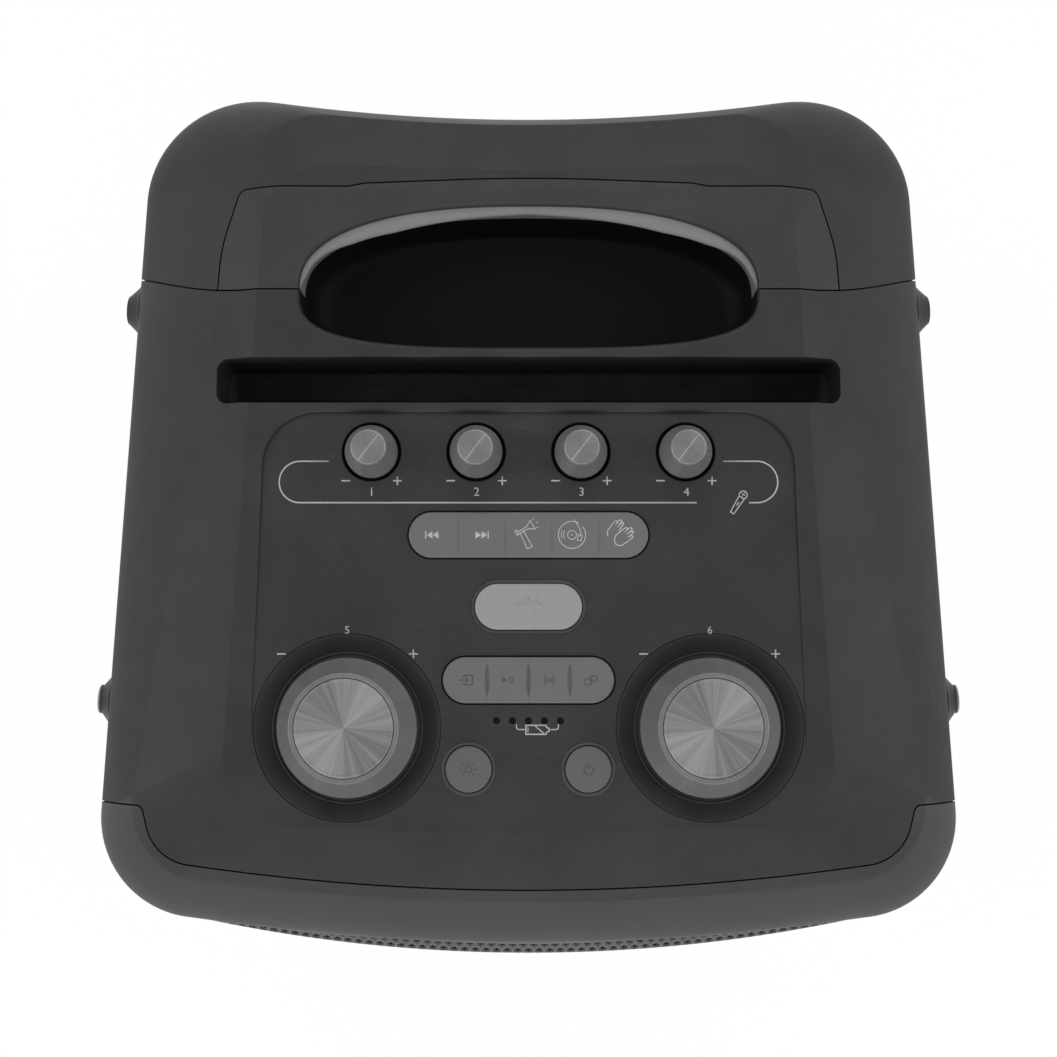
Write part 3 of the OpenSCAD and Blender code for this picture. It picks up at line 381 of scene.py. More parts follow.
def moulded(name, level, roughness=0.5, tint=(1, 1, 1), mottle=4, worn=18, dust=0.05,
            grain=1800.0, grain_depth=0.00002, metallic=0.0, specular=0.25):
    """A moulded or painted finish: level is its grey, mottle and worn are in grey levels. Worn
    lightens convex edges, as rubbed wear and as a painted highlight.
    """
    tree, shader = start_material(name, roughness, metallic, specular)
    mould = place_group(tree, MOULDED_GRAIN, Grain_Scale=grain)
    edge = place_group(tree, EDGE_WEAR_AND_HIGHLIGHT, Amount=RUBBED_AND_HIGHLIT)
    dusty = place_group(tree, SETTLED_DUST, Amount=dust)
    colour = mix_colour(tree, mould.outputs["Mottle"], screen_grey(level - mottle / 2, tint),
                        screen_grey(level + mottle / 2, tint))
    colour = mix_colour(tree, dusty.outputs["Mask"], colour, screen_grey(DUST_LEVEL))
    # Rubbed wear and painted highlight: convex edges lighter by worn grey levels
    colour = mix_colour(tree, edge.outputs["Mask"], colour, screen_grey(level + worn, tint))
    feed(tree, shader.inputs["Base Color"], colour)
    gloss = map_range(tree, mould.outputs["Mottle"], 0.0, 1.0, roughness - 0.05, roughness + 0.05)
    feed(tree, shader.inputs["Roughness"], gloss)
    bump(tree, shader, mould.outputs["Height"], 0.35, grain_depth)


def turned(name, level, spread, roughness, wedges):
    """A finish with painted reflection fans in its colour and fine rings around the knob's own
    axis.
    """
    tree, shader = start_material(name, roughness)
    spun = place_group(tree, PAINTED_SPUN_REFLECTION, Wedges=wedges)
    edge = place_group(tree, EDGE_WEAR_AND_HIGHLIGHT, Amount=RUBBED_AND_HIGHLIT)
    # Painted reflection: the fans mix the grey between level - spread and level + spread
    mask = math_node(tree, "MULTIPLY", spun.outputs["Streak"], 1.0, clamp=True)
    colour = mix_colour(tree, mask, screen_grey(level - spread), screen_grey(level + spread))
    # Rubbed wear and painted highlight on convex edges
    colour = mix_colour(tree, edge.outputs["Mask"], colour, screen_grey(level + spread + 15))
    feed(tree, shader.inputs["Base Color"], colour)
    bump(tree, shader, spun.outputs["Height"], 0.15, 0.00002)


def printed(name, level, under):
    """Pad printing: thin ink that lets specks of the plastic below show."""
    tree, shader = start_material(name, 0.6)
    worn = place_group(tree, PRINT_WEAR, Amount=0.35)
    grain = place_group(tree, MOULDED_GRAIN)
    colour = mix_colour(tree, worn.outputs["Mask"], screen_grey(level), screen_grey(under))
    feed(tree, shader.inputs["Base Color"], colour)
    bump(tree, shader, grain.outputs["Height"], 0.2, 0.00001)


moulded("deck_plastic", 44)
moulded("body_plastic", 43)
moulded("bezel_plastic", 56)
moulded("rear_plastic", 47)
moulded("panel_plastic", 53)
moulded("dark_plastic", 28, 0.45)
moulded("socket_plastic", 22, 0.35, grain=2400.0)
moulded("pit_plastic", 20, 0.6, mottle=3, worn=8, dust=0.0, specular=0.1)
moulded("dish_plastic", 38, 0.45, grain=2400.0)
moulded("key_plastic", 112, 0.45, grain=2600.0)
moulded("round_key_plastic", 100, 0.45, grain=2600.0)
moulded("boost_plastic", 161, 0.4, (0.97, 1.0, 0.99), grain=2600.0)
moulded("moat_plastic", 80, 0.45, grain=2600.0)
moulded("soft_rubber", 134, 0.7, (0.98, 1.0, 0.98), grain=1400.0)
moulded("black_rubber", 24, 0.75, grain=1200.0, specular=0.1)
moulded("grille_paint", 92, 0.4, grain=3000.0, worn=40, specular=0.5)
moulded("steel", 170, 0.35, metallic=1.0, grain=2600.0)
moulded("board_wood", 60, 0.8, (1.1, 0.95, 0.75), grain=300.0, grain_depth=0.0002)
moulded("cone_paper", 38, 0.6, grain=600.0, grain_depth=0.0001)
moulded("light_guide", 170, 0.3)
moulded("circuit_board", 70, 0.5, (0.5, 1.0, 0.6), grain=500.0)
moulded("cell_wrap", 80, 0.4, (0.5, 0.75, 1.3))
moulded("lamp_lens", 6, 0.5, mottle=2, worn=2, specular=0.1, dust=0.0)
moulded("stud_plastic", 36, 0.45)
moulded("stud_cap_plastic", 150, 0.4, grain=2600.0)
# The turned finishes carry painted reflection fans in their base colour
turned("small_skirt", 116, 8, 0.42, 1.2)
turned("large_skirt", 116, 7, 0.42, 1.4)
turned("disc_metal", 132, 24, 0.38, 5.0)
turned("cap_metal", 142, 30, 0.38, 4.2)
turned("rim_metal", 160, 20, 0.3, 1.2)
printed("light_print", 192, 70)
printed("key_print", 196, 110)
printed("dark_print", 68, 100)
printed("faint_print", 162, 150)
print("materials:", len(FINISH))

# %% [markdown]
# The cabinet's plan is a hexagon with every corner rounded: two front corners, a long swell
# between them, two rear corners and a long dip. The same six corners, drawn in and blended, give
# every level of the shell, so one skin can be lofted through them. Doing this with numpy keeps the
# numbers the same as in the solids, only finer.

# %% Outlines in millimetres
def unit(v):
    return v / np.linalg.norm(v)


def six_corners(w_front, y_front, out_front, w_rear, y_rear, in_rear):
    return np.array([
        [-w_front / 2, y_front], [0, y_front - out_front], [w_front / 2, y_front],
        [w_rear / 2, y_rear], [0, y_rear - in_rear], [-w_rear / 2, y_rear]], float)


def fillet(a, b, c, r, n):
    if r <= 0:
        return b[None, :]
    u, v = unit(a - b), unit(c - b)
    half = math.acos(max(-1.0, min(1.0, float(u @ v)))) / 2
    turn = math.pi - 2 * half
    centre = b + unit(u + v) * r / math.sin(half)
    start = (b + u * r / math.tan(half) - centre) / r
    stop = (b + v * r / math.tan(half) - centre) / r
    t = np.linspace(0, 1, n + 1)[:, None]
    return centre + r * (start * np.sin(turn * (1 - t)) + stop * np.sin(turn * t)) / math.sin(turn)


def outline(plan, radii, n=28):
    k = len(plan)
    return np.vstack([fillet(plan[i - 1], plan[i], plan[(i + 1) % k], radii[i], n)
                      for i in range(k)])


def normal(a, b):
    u = unit(b - a)
    return np.array([-u[1], u[0]])


def inset(plan, d):
    k = len(plan)
    moved = []
    for i in range(k):
        n1, n2 = normal(plan[i - 1], plan[i]), normal(plan[i], plan[(i + 1) % k])
        moved.append(plan[i] + d * (n1 + n2) / (1 + n1 @ n2))
    return np.array(moved)


def inset_radii(plan, radii, d):
    k = len(plan)
    changed = []
    for i in range(k):
        before, after = plan[i] - plan[i - 1], plan[(i + 1) % k] - plan[i]
        left = before[0] * after[1] - before[1] * after[0] > 0
        changed.append(0 if radii[i] == 0 else max(radii[i] - (d if left else -d), 1))
    return changed


def blend(a, b, t):
    return np.asarray(a, float) * (1 - t) + np.asarray(b, float) * t


# %% The cabinet's levels
FRONT_W, REAR_W, BODY_D, MIDDLE_Y = 344.8, 305.4, 331.0, 13.6
FRONT_OUT, REAR_IN = 22.7, 20.9
FRONT_BOW_R, REAR_DIP_R = 890, 746
FRONT_Y, REAR_Y = MIDDLE_Y - BODY_D / 2, MIDDLE_Y + BODY_D / 2


def level_radii(front, rear):
    return [front, FRONT_BOW_R, front, rear, REAR_DIP_R, rear]


BODY_PLAN = six_corners(FRONT_W, FRONT_Y, FRONT_OUT, REAR_W, REAR_Y, REAR_IN)
BODY_RADII = level_radii(40, 44)
CREASE_PLAN = six_corners(312.8, FRONT_Y + 16, 20.6, 219.4, REAR_Y - 17, 9.9)
CREASE_RADII = level_radii(30, 34)
FLAT_PLAN = six_corners(236, FRONT_Y + 34, 4, 204, REAR_Y - 41, 4)
FLAT_RADII = level_radii(26, 26)
WALL, BOTTOM_Z, BOTTOM_R = 4.0, 8.0, 10.0
SHOULDER_DROP, CREASE_DROP = 38.0, 9.0
SHOULDER_POWER, BAND_POWER = 1.3, 1.1
SEAM_HALF = 0.3
SEAM_Z = DECK - 90


def at_height(points, z):
    return np.column_stack([points, np.broadcast_to(z, len(points))])


def at_depth(points, y):
    """Points of X and Z, set at a Y."""
    return np.column_stack([points[:, 0], np.broadcast_to(y, len(points)), points[:, 1]])


def ring(plan, radii, d, z):
    return at_height(outline(inset(plan, d), inset_radii(plan, radii, d)), z)


def shoulder_ring(d, share):
    draw = share ** SHOULDER_POWER
    z = DECK - (SHOULDER_DROP * (1 - share) + CREASE_DROP * share) - d * draw
    return ring(blend(BODY_PLAN, CREASE_PLAN, draw), blend(BODY_RADII, CREASE_RADII, draw), d, z)


def top_ring(d, share):
    return ring(blend(CREASE_PLAN, FLAT_PLAN, share), blend(CREASE_RADII, FLAT_RADII, share), d,
                DECK - CREASE_DROP * (1 - share) ** BAND_POWER - d)


def cabinet_rings(d):
    rings = []
    for angle in np.linspace(0, 90, 7):
        bend = math.radians(angle)
        rings.append(ring(BODY_PLAN, BODY_RADII, d + (BOTTOM_R - d) * (1 - math.sin(bend)),
                          BOTTOM_Z + d + (BOTTOM_R - d) * (1 - math.cos(bend))))
    # Rings close to the crease on both sides keep it crisp
    rings += [shoulder_ring(d, share) for share in list(np.linspace(0, 0.96, 15)) + [0.988]]
    rings += [top_ring(d, share) for share in [0.02, 0.05] + list(np.linspace(0.12, 1, 12))]
    return rings


# %% [markdown]
# The openings are cut with booleans, as a moulder's inserts shape the real holes. A cutter whose
# walls flare out where they pass the surface leaves a rounded rim, and this is what catches the
# light around every opening. Cutters live in a side collection and are thrown away once used.

# %% Mesh and boolean helpers
BENCH = bpy.data.collections.new("bench")
bpy.context.scene.collection.children.link(BENCH)
REACH = 400.0
RIM_TURN = 78


def mesh_from(name, points, faces):
    mesh = bpy.data.meshes.new(name)
    mesh.from_pydata([tuple(float(c) * MM for c in p) for p in points], [], faces)
    mesh.update()
    return mesh


def wrap_faces(n, k, around=False):
    """Quads between k rings of n points, and also from the last to the first if around."""
    return [(j * n + i, j * n + (i + 1) % n, (j + 1) % k * n + (i + 1) % n, (j + 1) % k * n + i)
            for j in range(k if around else k - 1) for i in range(n)]


def loft(name, rings):
    """Skins rings of equally many points, capped at both ends."""
    n, last = len(rings[0]), (len(rings) - 1) * len(rings[0])
    caps = [tuple(range(n - 1, -1, -1)), tuple(range(last, last + n))]
    return mesh_from(name, np.vstack(rings), wrap_faces(n, len(rings)) + caps)


def round_band(name, rings):
    """Skins rings that close on the first again, as a trim ring's section does."""
    return tidy_normals(mesh_from(name, np.vstack(rings),
                                  wrap_faces(len(rings[0]), len(rings), True)))


def tidy_normals(mesh, weld=0.000001, turn=True):
    work = bmesh.new()
    work.from_mesh(mesh)
    bmesh.ops.remove_doubles(work, verts=work.verts, dist=weld)
    if turn:
        bmesh.ops.recalc_face_normals(work, faces=work.faces)
    work.to_mesh(mesh)
    work.free()
    return mesh


def on_bench(mesh):
    obj = bpy.data.objects.new(mesh.name, mesh)
    BENCH.objects.link(obj)
    return obj


def carve(name, base, cuts=(), keeps=()):
    """The base mesh, held to each of keeps and less each of cuts, as a new mesh."""
    body = on_bench(base)
    helpers = []
    for operation, tools in (("INTERSECT", keeps), ("DIFFERENCE", cuts)):
        for tool in tools:
            helper = on_bench(tool)
            helpers.append(helper)
            step = body.modifiers.new(operation, "BOOLEAN")
            step.operation = operation
            step.object = helper
            step.solver = "MANIFOLD"
    graph = bpy.context.evaluated_depsgraph_get()
    result = bpy.data.meshes.new_from_object(body.evaluated_get(graph))
    result.name = name
    for obj in [body] + helpers:
        bpy.data.objects.remove(obj)
    if len(result.polygons) < 8:
        print("EMPTY:", name)
    return result


def plan_prism(plan, low, high):
    return loft("prism", [at_height(plan, z) for z in (low, high)])


def slab(low, high):
    """All that lies between two heights."""
    return plan_prism(REACH * np.array([[-1, -1], [1, -1], [1, 1], [-1, 1]]), low, high)


def side_prism(profile):
    """A drawing of Y and Z carried across X."""
    return loft("side_prism", [np.column_stack([np.full(len(profile), x), profile])
                               for x in (-REACH, REACH)])


def back_prism(outline_xz, y_low, y_high):
    """A drawing of X and Z carried along Y."""
    return loft("back_prism", [at_depth(outline_xz, y) for y in (y_high, y_low)])


def outward(points):
    """Unit normals of a closed outline that runs anticlockwise."""
    tangent = np.roll(points, -1, axis=0) - np.roll(points, 1, axis=0)
    tangent /= np.linalg.norm(tangent, axis=1)[:, None]
    return np.column_stack([tangent[:, 1], -tangent[:, 0]])


def flared_cutter(points, surface, depth, rim):
    """Cuts depth below the surface, with a rim rounded by radius rim."""
    level = surface(points[:, 1])
    rim = np.broadcast_to(rim, level.shape)
    out = outward(points) * rim[:, None]
    rings = [at_height(points, level - depth), at_height(points, level - rim)]
    for angle in np.linspace(0, RIM_TURN, 6)[1:]:
        bend = math.radians(angle)
        rings.append(at_height(points + out * (1 - math.cos(bend)),
                               level - rim * (1 - math.sin(bend))))
    # The last ring goes on at the flare's own slope for a little, then straight up
    flared = points + out * (1.12 - math.cos(math.radians(RIM_TURN)))
    return loft("cutter", rings + [at_height(flared, level), at_height(flared, level + 8.0)])


def circle(x, y, r, n=96):
    a = np.linspace(0, 2 * math.pi, n, endpoint=False)
    return np.column_stack([x + r * np.cos(a), y + r * np.sin(a)])


def pill(x, y, length, width, n=40):
    r = width / 2
    right = np.linspace(-math.pi / 2, math.pi / 2, n)
    half = np.column_stack([length / 2 - r + r * np.cos(right), r * np.sin(right)])
    return np.vstack([half, -half]) + np.array([x, y])


def rounded_bar(x, y, width, height, r, n=14):
    corners = []
    for sx, sy, start in ((1, 1, 0), (-1, 1, 90), (-1, -1, 180), (1, -1, 270)):
        a = np.radians(np.linspace(start, start + 90, n))
        corners.append(np.column_stack([x + sx * (width / 2 - r) + r * np.cos(a),
                                        y + sy * (height / 2 - r) + r * np.sin(a)]))
    return np.vstack(corners)


FIELD_SLOPE, FIELD_FRONT_Y = 2.0 / 136.5, -97.0


def field_z(y):
    return DECK - FIELD_SLOPE * (np.asarray(y, float) - FIELD_FRONT_Y)


def flat_z(y):
    return np.full(np.shape(y), DECK)


# %% [markdown]
# Every piece is placed by one helper: it smooths the faces, keeps edges sharper than a given angle,
# gives the finish, rides on its body and names the solid that it stands for.

# %% Placing a piece
LEVEL_NORMAL = 0.9998


def add_piece(name, mesh, finish, body="cabinet", stands_for=(), sharp=28, place=None,
              weighted=False):
    obj = bpy.data.objects.new(name, mesh)
    bpy.context.scene.collection.objects.link(obj)
    mesh.materials.clear()
    mesh.materials.append(FINISH[finish])
    mesh.shade_smooth()
    mesh.set_sharp_from_angle(angle=math.radians(sharp))
    if weighted:
        # Long thin triangles on a level face would show as streaks if they were smoothed
        for face in mesh.polygons:
            face.use_smooth = face.normal.z < LEVEL_NORMAL
        step = obj.modifiers.new("face_weights", "WEIGHTED_NORMAL")
        step.keep_sharp = True
    if place is not None:
        obj.location = [c * MM for c in place]
        bpy.context.view_layer.update()
    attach(obj, body)
    if stands_for:
        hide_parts(*stands_for)
    return obj


# %% Seams
SEAM_Y, SEAM_SWING, SEAM_SWING_DROP, SEAM_STEPS = 88, 12.0, 46, 24


def rear_seam(gap):
    line = [[SEAM_Y + gap, DECK + 20]]
    for i in range(SEAM_STEPS + 1):
        t = i / SEAM_STEPS
        line.append([SEAM_Y + gap + SEAM_SWING * math.sin(math.radians(90 * t)) ** 2,
                     DECK - SEAM_SWING_DROP * t])
    return line + [[SEAM_Y + SEAM_SWING + gap, -20]]


def before_rear_seam(gap):
    return side_prism(rear_seam(gap)[::-1] + [[-REACH, DECK + 20], [-REACH, -20]])


def behind_rear_seam(gap):
    return side_prism(rear_seam(gap) + [[REACH, -20], [REACH, DECK + 20]])


def swell(plan, corner, r):
    k = len(plan)
    u, v = unit(plan[corner - 1] - plan[corner]), unit(plan[(corner + 1) % k] - plan[corner])
    half = math.acos(float(u @ v)) / 2
    return (r / math.sin(half) - r) * (1 if unit(u + v)[1] > 0 else -1)


FRONT_MID_Y = FRONT_Y - FRONT_OUT + swell(BODY_PLAN, 1, FRONT_BOW_R)
REAR_MID_Y = REAR_Y - REAR_IN + swell(BODY_PLAN, 4, REAR_DIP_R)
FRONT_SEAM_HALF = np.array([[-REACH, -111], [-148.5, -111], [-143.5, -132]])
FRONT_SEAM = np.vstack([FRONT_SEAM_HALF, [[0, FRONT_MID_Y + 16.2]],
                        FRONT_SEAM_HALF[::-1] * [-1, 1]])
BEHIND_FRONT = np.vstack([FRONT_SEAM, [[REACH, REACH], [-REACH, REACH]]])
BEFORE_FRONT = np.vstack([FRONT_SEAM[::-1], [[-REACH, -REACH], [REACH, -REACH]]])
SEAM_RADII = [0, 3, 19, FRONT_BOW_R, 19, 3, 0, 0, 0]


def seam_prism(plan, gap):
    drawn = outline(inset(plan, gap), inset_radii(plan, SEAM_RADII, gap))
    return plan_prism(drawn, -20, DECK + 20)


COVER_SIDE = np.array([[122, 48], [122, 88], [120.8, 106], [113.2, 128.6], [70, 128.4],
                       [64, 129.6]])
COVER_PLAN = np.vstack([COVER_SIDE, [[0, 132]], COVER_SIDE[::-1] * [-1, 1]])
COVER_RADII = [0, 0, 60, 4, 6, 6, REAR_DIP_R, 6, 6, 4, 60, 0, 0]


def cover_outline(gap):
    return outline(inset(COVER_PLAN, gap), inset_radii(COVER_PLAN, COVER_RADII, gap))


HAND_HALF_L, HAND_Y = 89, 88
HAND_HALVES = ((1, 33, 2.4), (-1, 22.8, 3.2))  # side, reach and how square the curve is


def hand_outline(grow=0.0):
    halves = []
    for side, reach, power in HAND_HALVES:
        a = np.linspace(0, math.pi, 72, endpoint=False)
        c, s = np.cos(a), np.sin(a)
        halves.append(np.column_stack([
            side * (HAND_HALF_L + grow) * np.sign(c) * np.abs(c) ** (2 / power),
            HAND_Y + side * (reach + grow) * np.abs(s) ** (2 / power)]))
    return np.vstack(halves)


def even_outline(points, n):
    """The same closed outline with n evenly spread points."""
    closed = np.vstack([points, points[:1]])
    steps = np.linalg.norm(np.diff(closed, axis=0), axis=1)
    reach = np.concatenate([[0], np.cumsum(steps)])
    where = np.linspace(0, reach[-1], n, endpoint=False)
    return np.column_stack([np.interp(where, reach, closed[:, i]) for i in range(2)])


print("front middle", round(FRONT_MID_Y, 2), "rear middle", round(REAR_MID_Y, 2))

# %% [markdown]
# The control field is a shallow tray: two millimetres deep at the back, and its floor rises to
# meet the top face at the front. Its rounded rim grows with the depth of the tray.

# %% Shells
UPPER_ROW = {"y": -7.6, "length": 92.0, "pitch": 18.0}
LOWER_ROW = {"y": -63.2, "length": 65.4, "pitch": 15.8}
KEY_W = 17.6
KEY_GAP = 0.5
BOOST_Y, BOOST_L = -35.2, 41.0
ROUND_X, ROUND_Y, ROUND_R = 22.8, -97.0, 8.8
MOAT_W = 1.5
SMALL_XS = [-60.6, -20.2, 20.2, 60.6]
SMALL_Y, SMALL_WELL_R, SMALL_WELL_DROP = 24.6, 11.4, 6.0
LARGE_X, LARGE_Y, DISH_R = 69.2, -81.3, 35.7
SLOT_Y, SLOT_L, SLOT_W, SLOT_DEPTH = 52.5, 242.8, 17.6, 40.0
LIGHT_XS = [-12.2, -6.1, 0.0, 6.1, 12.2]
LIGHT_Y, LIGHT_R = -78.6, 1.25
DISH_CUT, KEY_CUT, HAND_CUT = 14, 10, 20
DIALS = ((1, "volume"), (-1, "light"))
ROUND_KEYS = ((-1, "lamp"), (1, "power"))


def hand_cutter():
    """The carry opening's cutter: its rim is rounder at the rear, where the fingers go in."""
    points = even_outline(hand_outline(), 320)
    rim = np.interp(points[:, 1], [80, 112], [1.8, 3.0])
    return flared_cutter(points, flat_z, HAND_CUT, rim)


def field_cutter():
    plan = np.array([[-106.5, -109], [106.5, -109], [101.5, 39.5], [-101.5, 39.5]], float)
    points = even_outline(outline(plan, [0, 0, 21, 21], 32), 420)
    floor = field_z(points[:, 1])
    height = DECK - floor
    out = outward(points) * np.maximum(height, 0)[:, None]
    rings = [at_height(points, floor)]
    for angle in (18, 36, 54, 66, 76):
        bend = math.radians(angle)
        rings.append(at_height(points + out * 0.9 * (1 - math.cos(bend)),
                               floor + height * math.sin(bend)))
    return loft("field", rings + [at_height(points + out * 0.75, DECK + 10.0)])


def deck_cutters():
    cuts = [field_cutter(), hand_cutter(),
            flared_cutter(rounded_bar(0, SLOT_Y, SLOT_L, SLOT_W, 4.5), flat_z, SLOT_DEPTH, 0.9)]

    def hole(points, depth, rim):
        cuts.append(flared_cutter(points, field_z, depth, rim))

    for x in SMALL_XS:
        hole(circle(x, SMALL_Y, SMALL_WELL_R), SMALL_WELL_DROP, 0.35)
        cuts.append(plan_prism(circle(x, SMALL_Y, 4.0, 48), DECK - 30, DECK))
    for side in (-1, 1):
        hole(circle(side * LARGE_X, LARGE_Y, DISH_R + 0.1, 160), DISH_CUT, 0.3)
        hole(circle(side * ROUND_X, ROUND_Y, ROUND_R + MOAT_W), KEY_CUT, 0.2)
    for row in (UPPER_ROW, LOWER_ROW):
        hole(pill(0, row["y"], row["length"] + 2 * KEY_GAP, KEY_W + 2 * KEY_GAP), KEY_CUT, 0.25)
    hole(pill(0, BOOST_Y, BOOST_L + 2 * MOAT_W, KEY_W + 2 * MOAT_W), KEY_CUT, 0.2)
    for x in LIGHT_XS:
        cuts.append(plan_prism(circle(x, LIGHT_Y, LIGHT_R + 0.05, 40), DECK - 10, DECK + 5))
    return cuts


def outer_skin():
    return loft("outer", cabinet_rings(0))


def inner_skin():
    return loft("inner", cabinet_rings(WALL))


def add_shell(name, node, finish, keeps, cuts):
    """One moulding of the housing: the outer skin, held to keeps and less cuts."""
    mesh = carve(node, outer_skin(), keeps=keeps, cuts=cuts)
    add_piece(name, mesh, finish, stands_for=(node,), weighted=True)


def deck_void():
    """The hollow below the deck, less the pockets that hang into it."""
    pockets = [plan_prism(rounded_bar(0, SLOT_Y, SLOT_L + 2.8, SLOT_W + 2.8, 5.9),
                          DECK - SLOT_DEPTH - 1.4, DECK + 1)]
    for x in SMALL_XS:
        pockets.append(plan_prism(circle(x, SMALL_Y, SMALL_WELL_R + 1.6, 64), DECK - 9.6, DECK + 1))
    return carve("deck_void", inner_skin(), cuts=pockets)


def build_middle_shells():
    for name, node, finish, low, high, cuts in (
            ("deck_shell", "top_deck", "deck_plastic", SEAM_Z, DECK + 30,
             [deck_void()] + deck_cutters()),
            ("cabinet_shell", "main_cabinet", "body_plastic", -20, SEAM_Z - 2 * SEAM_HALF,
             [inner_skin()])):
        add_shell(name, node, finish,
                  [slab(low, high), before_rear_seam(-SEAM_HALF),
                   seam_prism(BEHIND_FRONT, SEAM_HALF)], cuts)


def cover_prism(gap, low=DECK - 40, high=DECK + 20):
    return plan_prism(cover_outline(gap), low, high)


def cover_ledge():
    return carve("ledge", cover_prism(-5),
                 cuts=[cover_prism(4, DECK - 41, DECK + 21), loft("deep", cabinet_rings(WALL + 3))])


def build_rear_shell():
    port = circle(0, PORT_Z, PORT_R + 18)
    panel = rounded_bar(0, PANEL_Z, PANEL_W + 12, PANEL_H + 12, 12)
    void = carve("rear_void", inner_skin(),
                 cuts=[back_prism(port, REAR_MID_Y - 10, REAR_MID_Y + 30),
                       back_prism(panel, REAR_MID_Y - 10, REAR_MID_Y + 30), cover_ledge()])
    cover_void = carve("cover_void", cover_prism(-SEAM_HALF), cuts=[inner_skin()])
    add_shell("rear_moulding", "rear_shell", "rear_plastic",
              [behind_rear_seam(SEAM_HALF)],
              [void, cover_void,
               plan_prism(even_outline(hand_outline(5.0), 200), DECK - 30, DECK + 20),
               back_prism(circle(0, PORT_Z, PORT_R + 12.2), PANEL_SEAT_Y, 300),
               back_prism(circle(0, PORT_Z, PORT_R + 3.2), 100, 300),
               back_prism(rounded_bar(0, PANEL_Z, PANEL_W + 0.4, PANEL_H + 0.4, 8.2),
                          PANEL_SEAT_Y, 300),
               back_prism(rounded_bar(0, PANEL_Z, PANEL_W - 16, PANEL_H - 16, 4), 100, 300)])


def build_handle_cover():
    add_shell("handle_lid", "handle_cover", "panel_plastic",
              [cover_prism(SEAM_HALF), behind_rear_seam(SEAM_HALF)], [inner_skin(), hand_cutter()])


def grille_hole(grow=0):
    return rounded_bar(0, GRILLE_MID_Z, GRILLE_W + 2 * grow, GRILLE_H + 2 * grow, 24 + grow, 20)


def grille_cutter(rim=2.0):
    """The opening's cutter along Y; its walls flare where they leave the bowed front."""
    points = grille_hole()
    out = outward(points) * rim
    bow = FRONT_MID_Y + FRONT_BOW_R - np.sqrt(FRONT_BOW_R ** 2 - points[:, 0] ** 2)
    rings = [at_depth(points, BAFFLE_Y + 20), at_depth(points, bow + rim)]
    for angle in (15, 30, 45, 60, 75):
        bend = math.radians(angle)
        rings.append(at_depth(points + out * (1 - math.cos(bend)),
                              bow + rim * (1 - math.sin(bend))))
    flared = points + out * 0.9
    return loft("grille_opening", rings + [at_depth(flared, bow - 0.3 * rim),
                                           at_depth(flared, bow - 40)])


def build_front_frame():
    void = carve("front_void", inner_skin(),
                 cuts=[back_prism(grille_hole(4), FRONT_Y - 60, BAFFLE_Y)])
    add_shell("front_bezel", "front_frame", "bezel_plastic",
              [seam_prism(BEFORE_FRONT, SEAM_HALF)], [void, grille_cutter()])


PORT_R, PORT_Z = 32.0, 500.0
PANEL_W, PANEL_H, PANEL_Z = 150.0, 84.0, 340.0
PANEL_SEAT_Y = REAR_MID_Y - 5
GRILLE_W, GRILLE_LOW_Z, GRILLE_TOP_Z = 300.0, 36.0, DECK - 52
GRILLE_MID_Z, GRILLE_H = (GRILLE_LOW_Z + GRILLE_TOP_Z) / 2, GRILLE_TOP_Z - GRILLE_LOW_Z
BAFFLE_Y = -148.0
build_middle_shells()
build_rear_shell()
build_handle_cover()
build_front_frame()

# %% [markdown]
# The carry opening has a soft crescent on its rear wall for the fingers and a black scooped well.
# The crescent is thinner in the middle of the opening than towards its ends, as in the real one.
# Both follow the outline that cuts the opening.

# %% Handle
GRIP_REACH, GRIP_Y = 32.4, 88.6
GRIP_SHARES, GRIP_THICK = [0, 0.3, 0.6, 0.8, 1], [2.7, 4.0, 5.6, 5.0, 2.0]
# Around the section: outer wall down, under, undercut inner wall up to a rounded shoulder
GRIP_SECTION = [(0, -3.0), (0, -22.0), (0.05, -22.0), (0.35, -13.0), (0.75, -8.0), (1, -5.2),
                (1, -4.4), (0.93, -3.7), (0.75, -3.25), (0.5, -3.0)]
WELL_TOP, WELL_WALL, WELL_FOOT = DECK - 4.05, DECK - 36.0, DECK - 50.0


def crescent_mesh():
    """The grip: the strip between the opening's rear wall and a slightly smaller outline."""
    a = np.linspace(0, math.pi, 121)
    c, s = np.cos(a), np.sin(a)
    power = 2 / HAND_HALVES[0][2]
    wall_line = np.column_stack([HAND_HALF_L * np.sign(c) * np.abs(c) ** power,
                                 GRIP_Y + GRIP_REACH * np.abs(s) ** power])
    thick = np.interp(np.abs(wall_line[:, 0]) / HAND_HALF_L, GRIP_SHARES, GRIP_THICK)
    tangent = np.gradient(wall_line, axis=0)
    tangent /= np.linalg.norm(tangent, axis=1)[:, None]
    normals = np.column_stack([-tangent[:, 1], tangent[:, 0]])
    taper = np.clip(np.sin(a) * 7, 0, 1) ** 0.7
    rings = []
    for share, drop in GRIP_SECTION:
        line = wall_line + normals * (thick * taper * share + 0.02)[:, None]
        line[:, 1] = np.maximum(line[:, 1], GRIP_Y)
        rings.append(at_height(line, DECK + drop))
    n, k = len(a), len(rings)
    faces = [(j * n + i, j * n + i + 1, (j + 1) % k * n + i + 1, (j + 1) % k * n + i)
             for j in range(k) for i in range(n - 1)]
    faces.append(tuple(j * n for j in range(k)))
    faces.append(tuple(j * n + n - 1 for j in range(k - 1, -1, -1)))
    return mesh_from("grip", np.vstack(rings), faces)


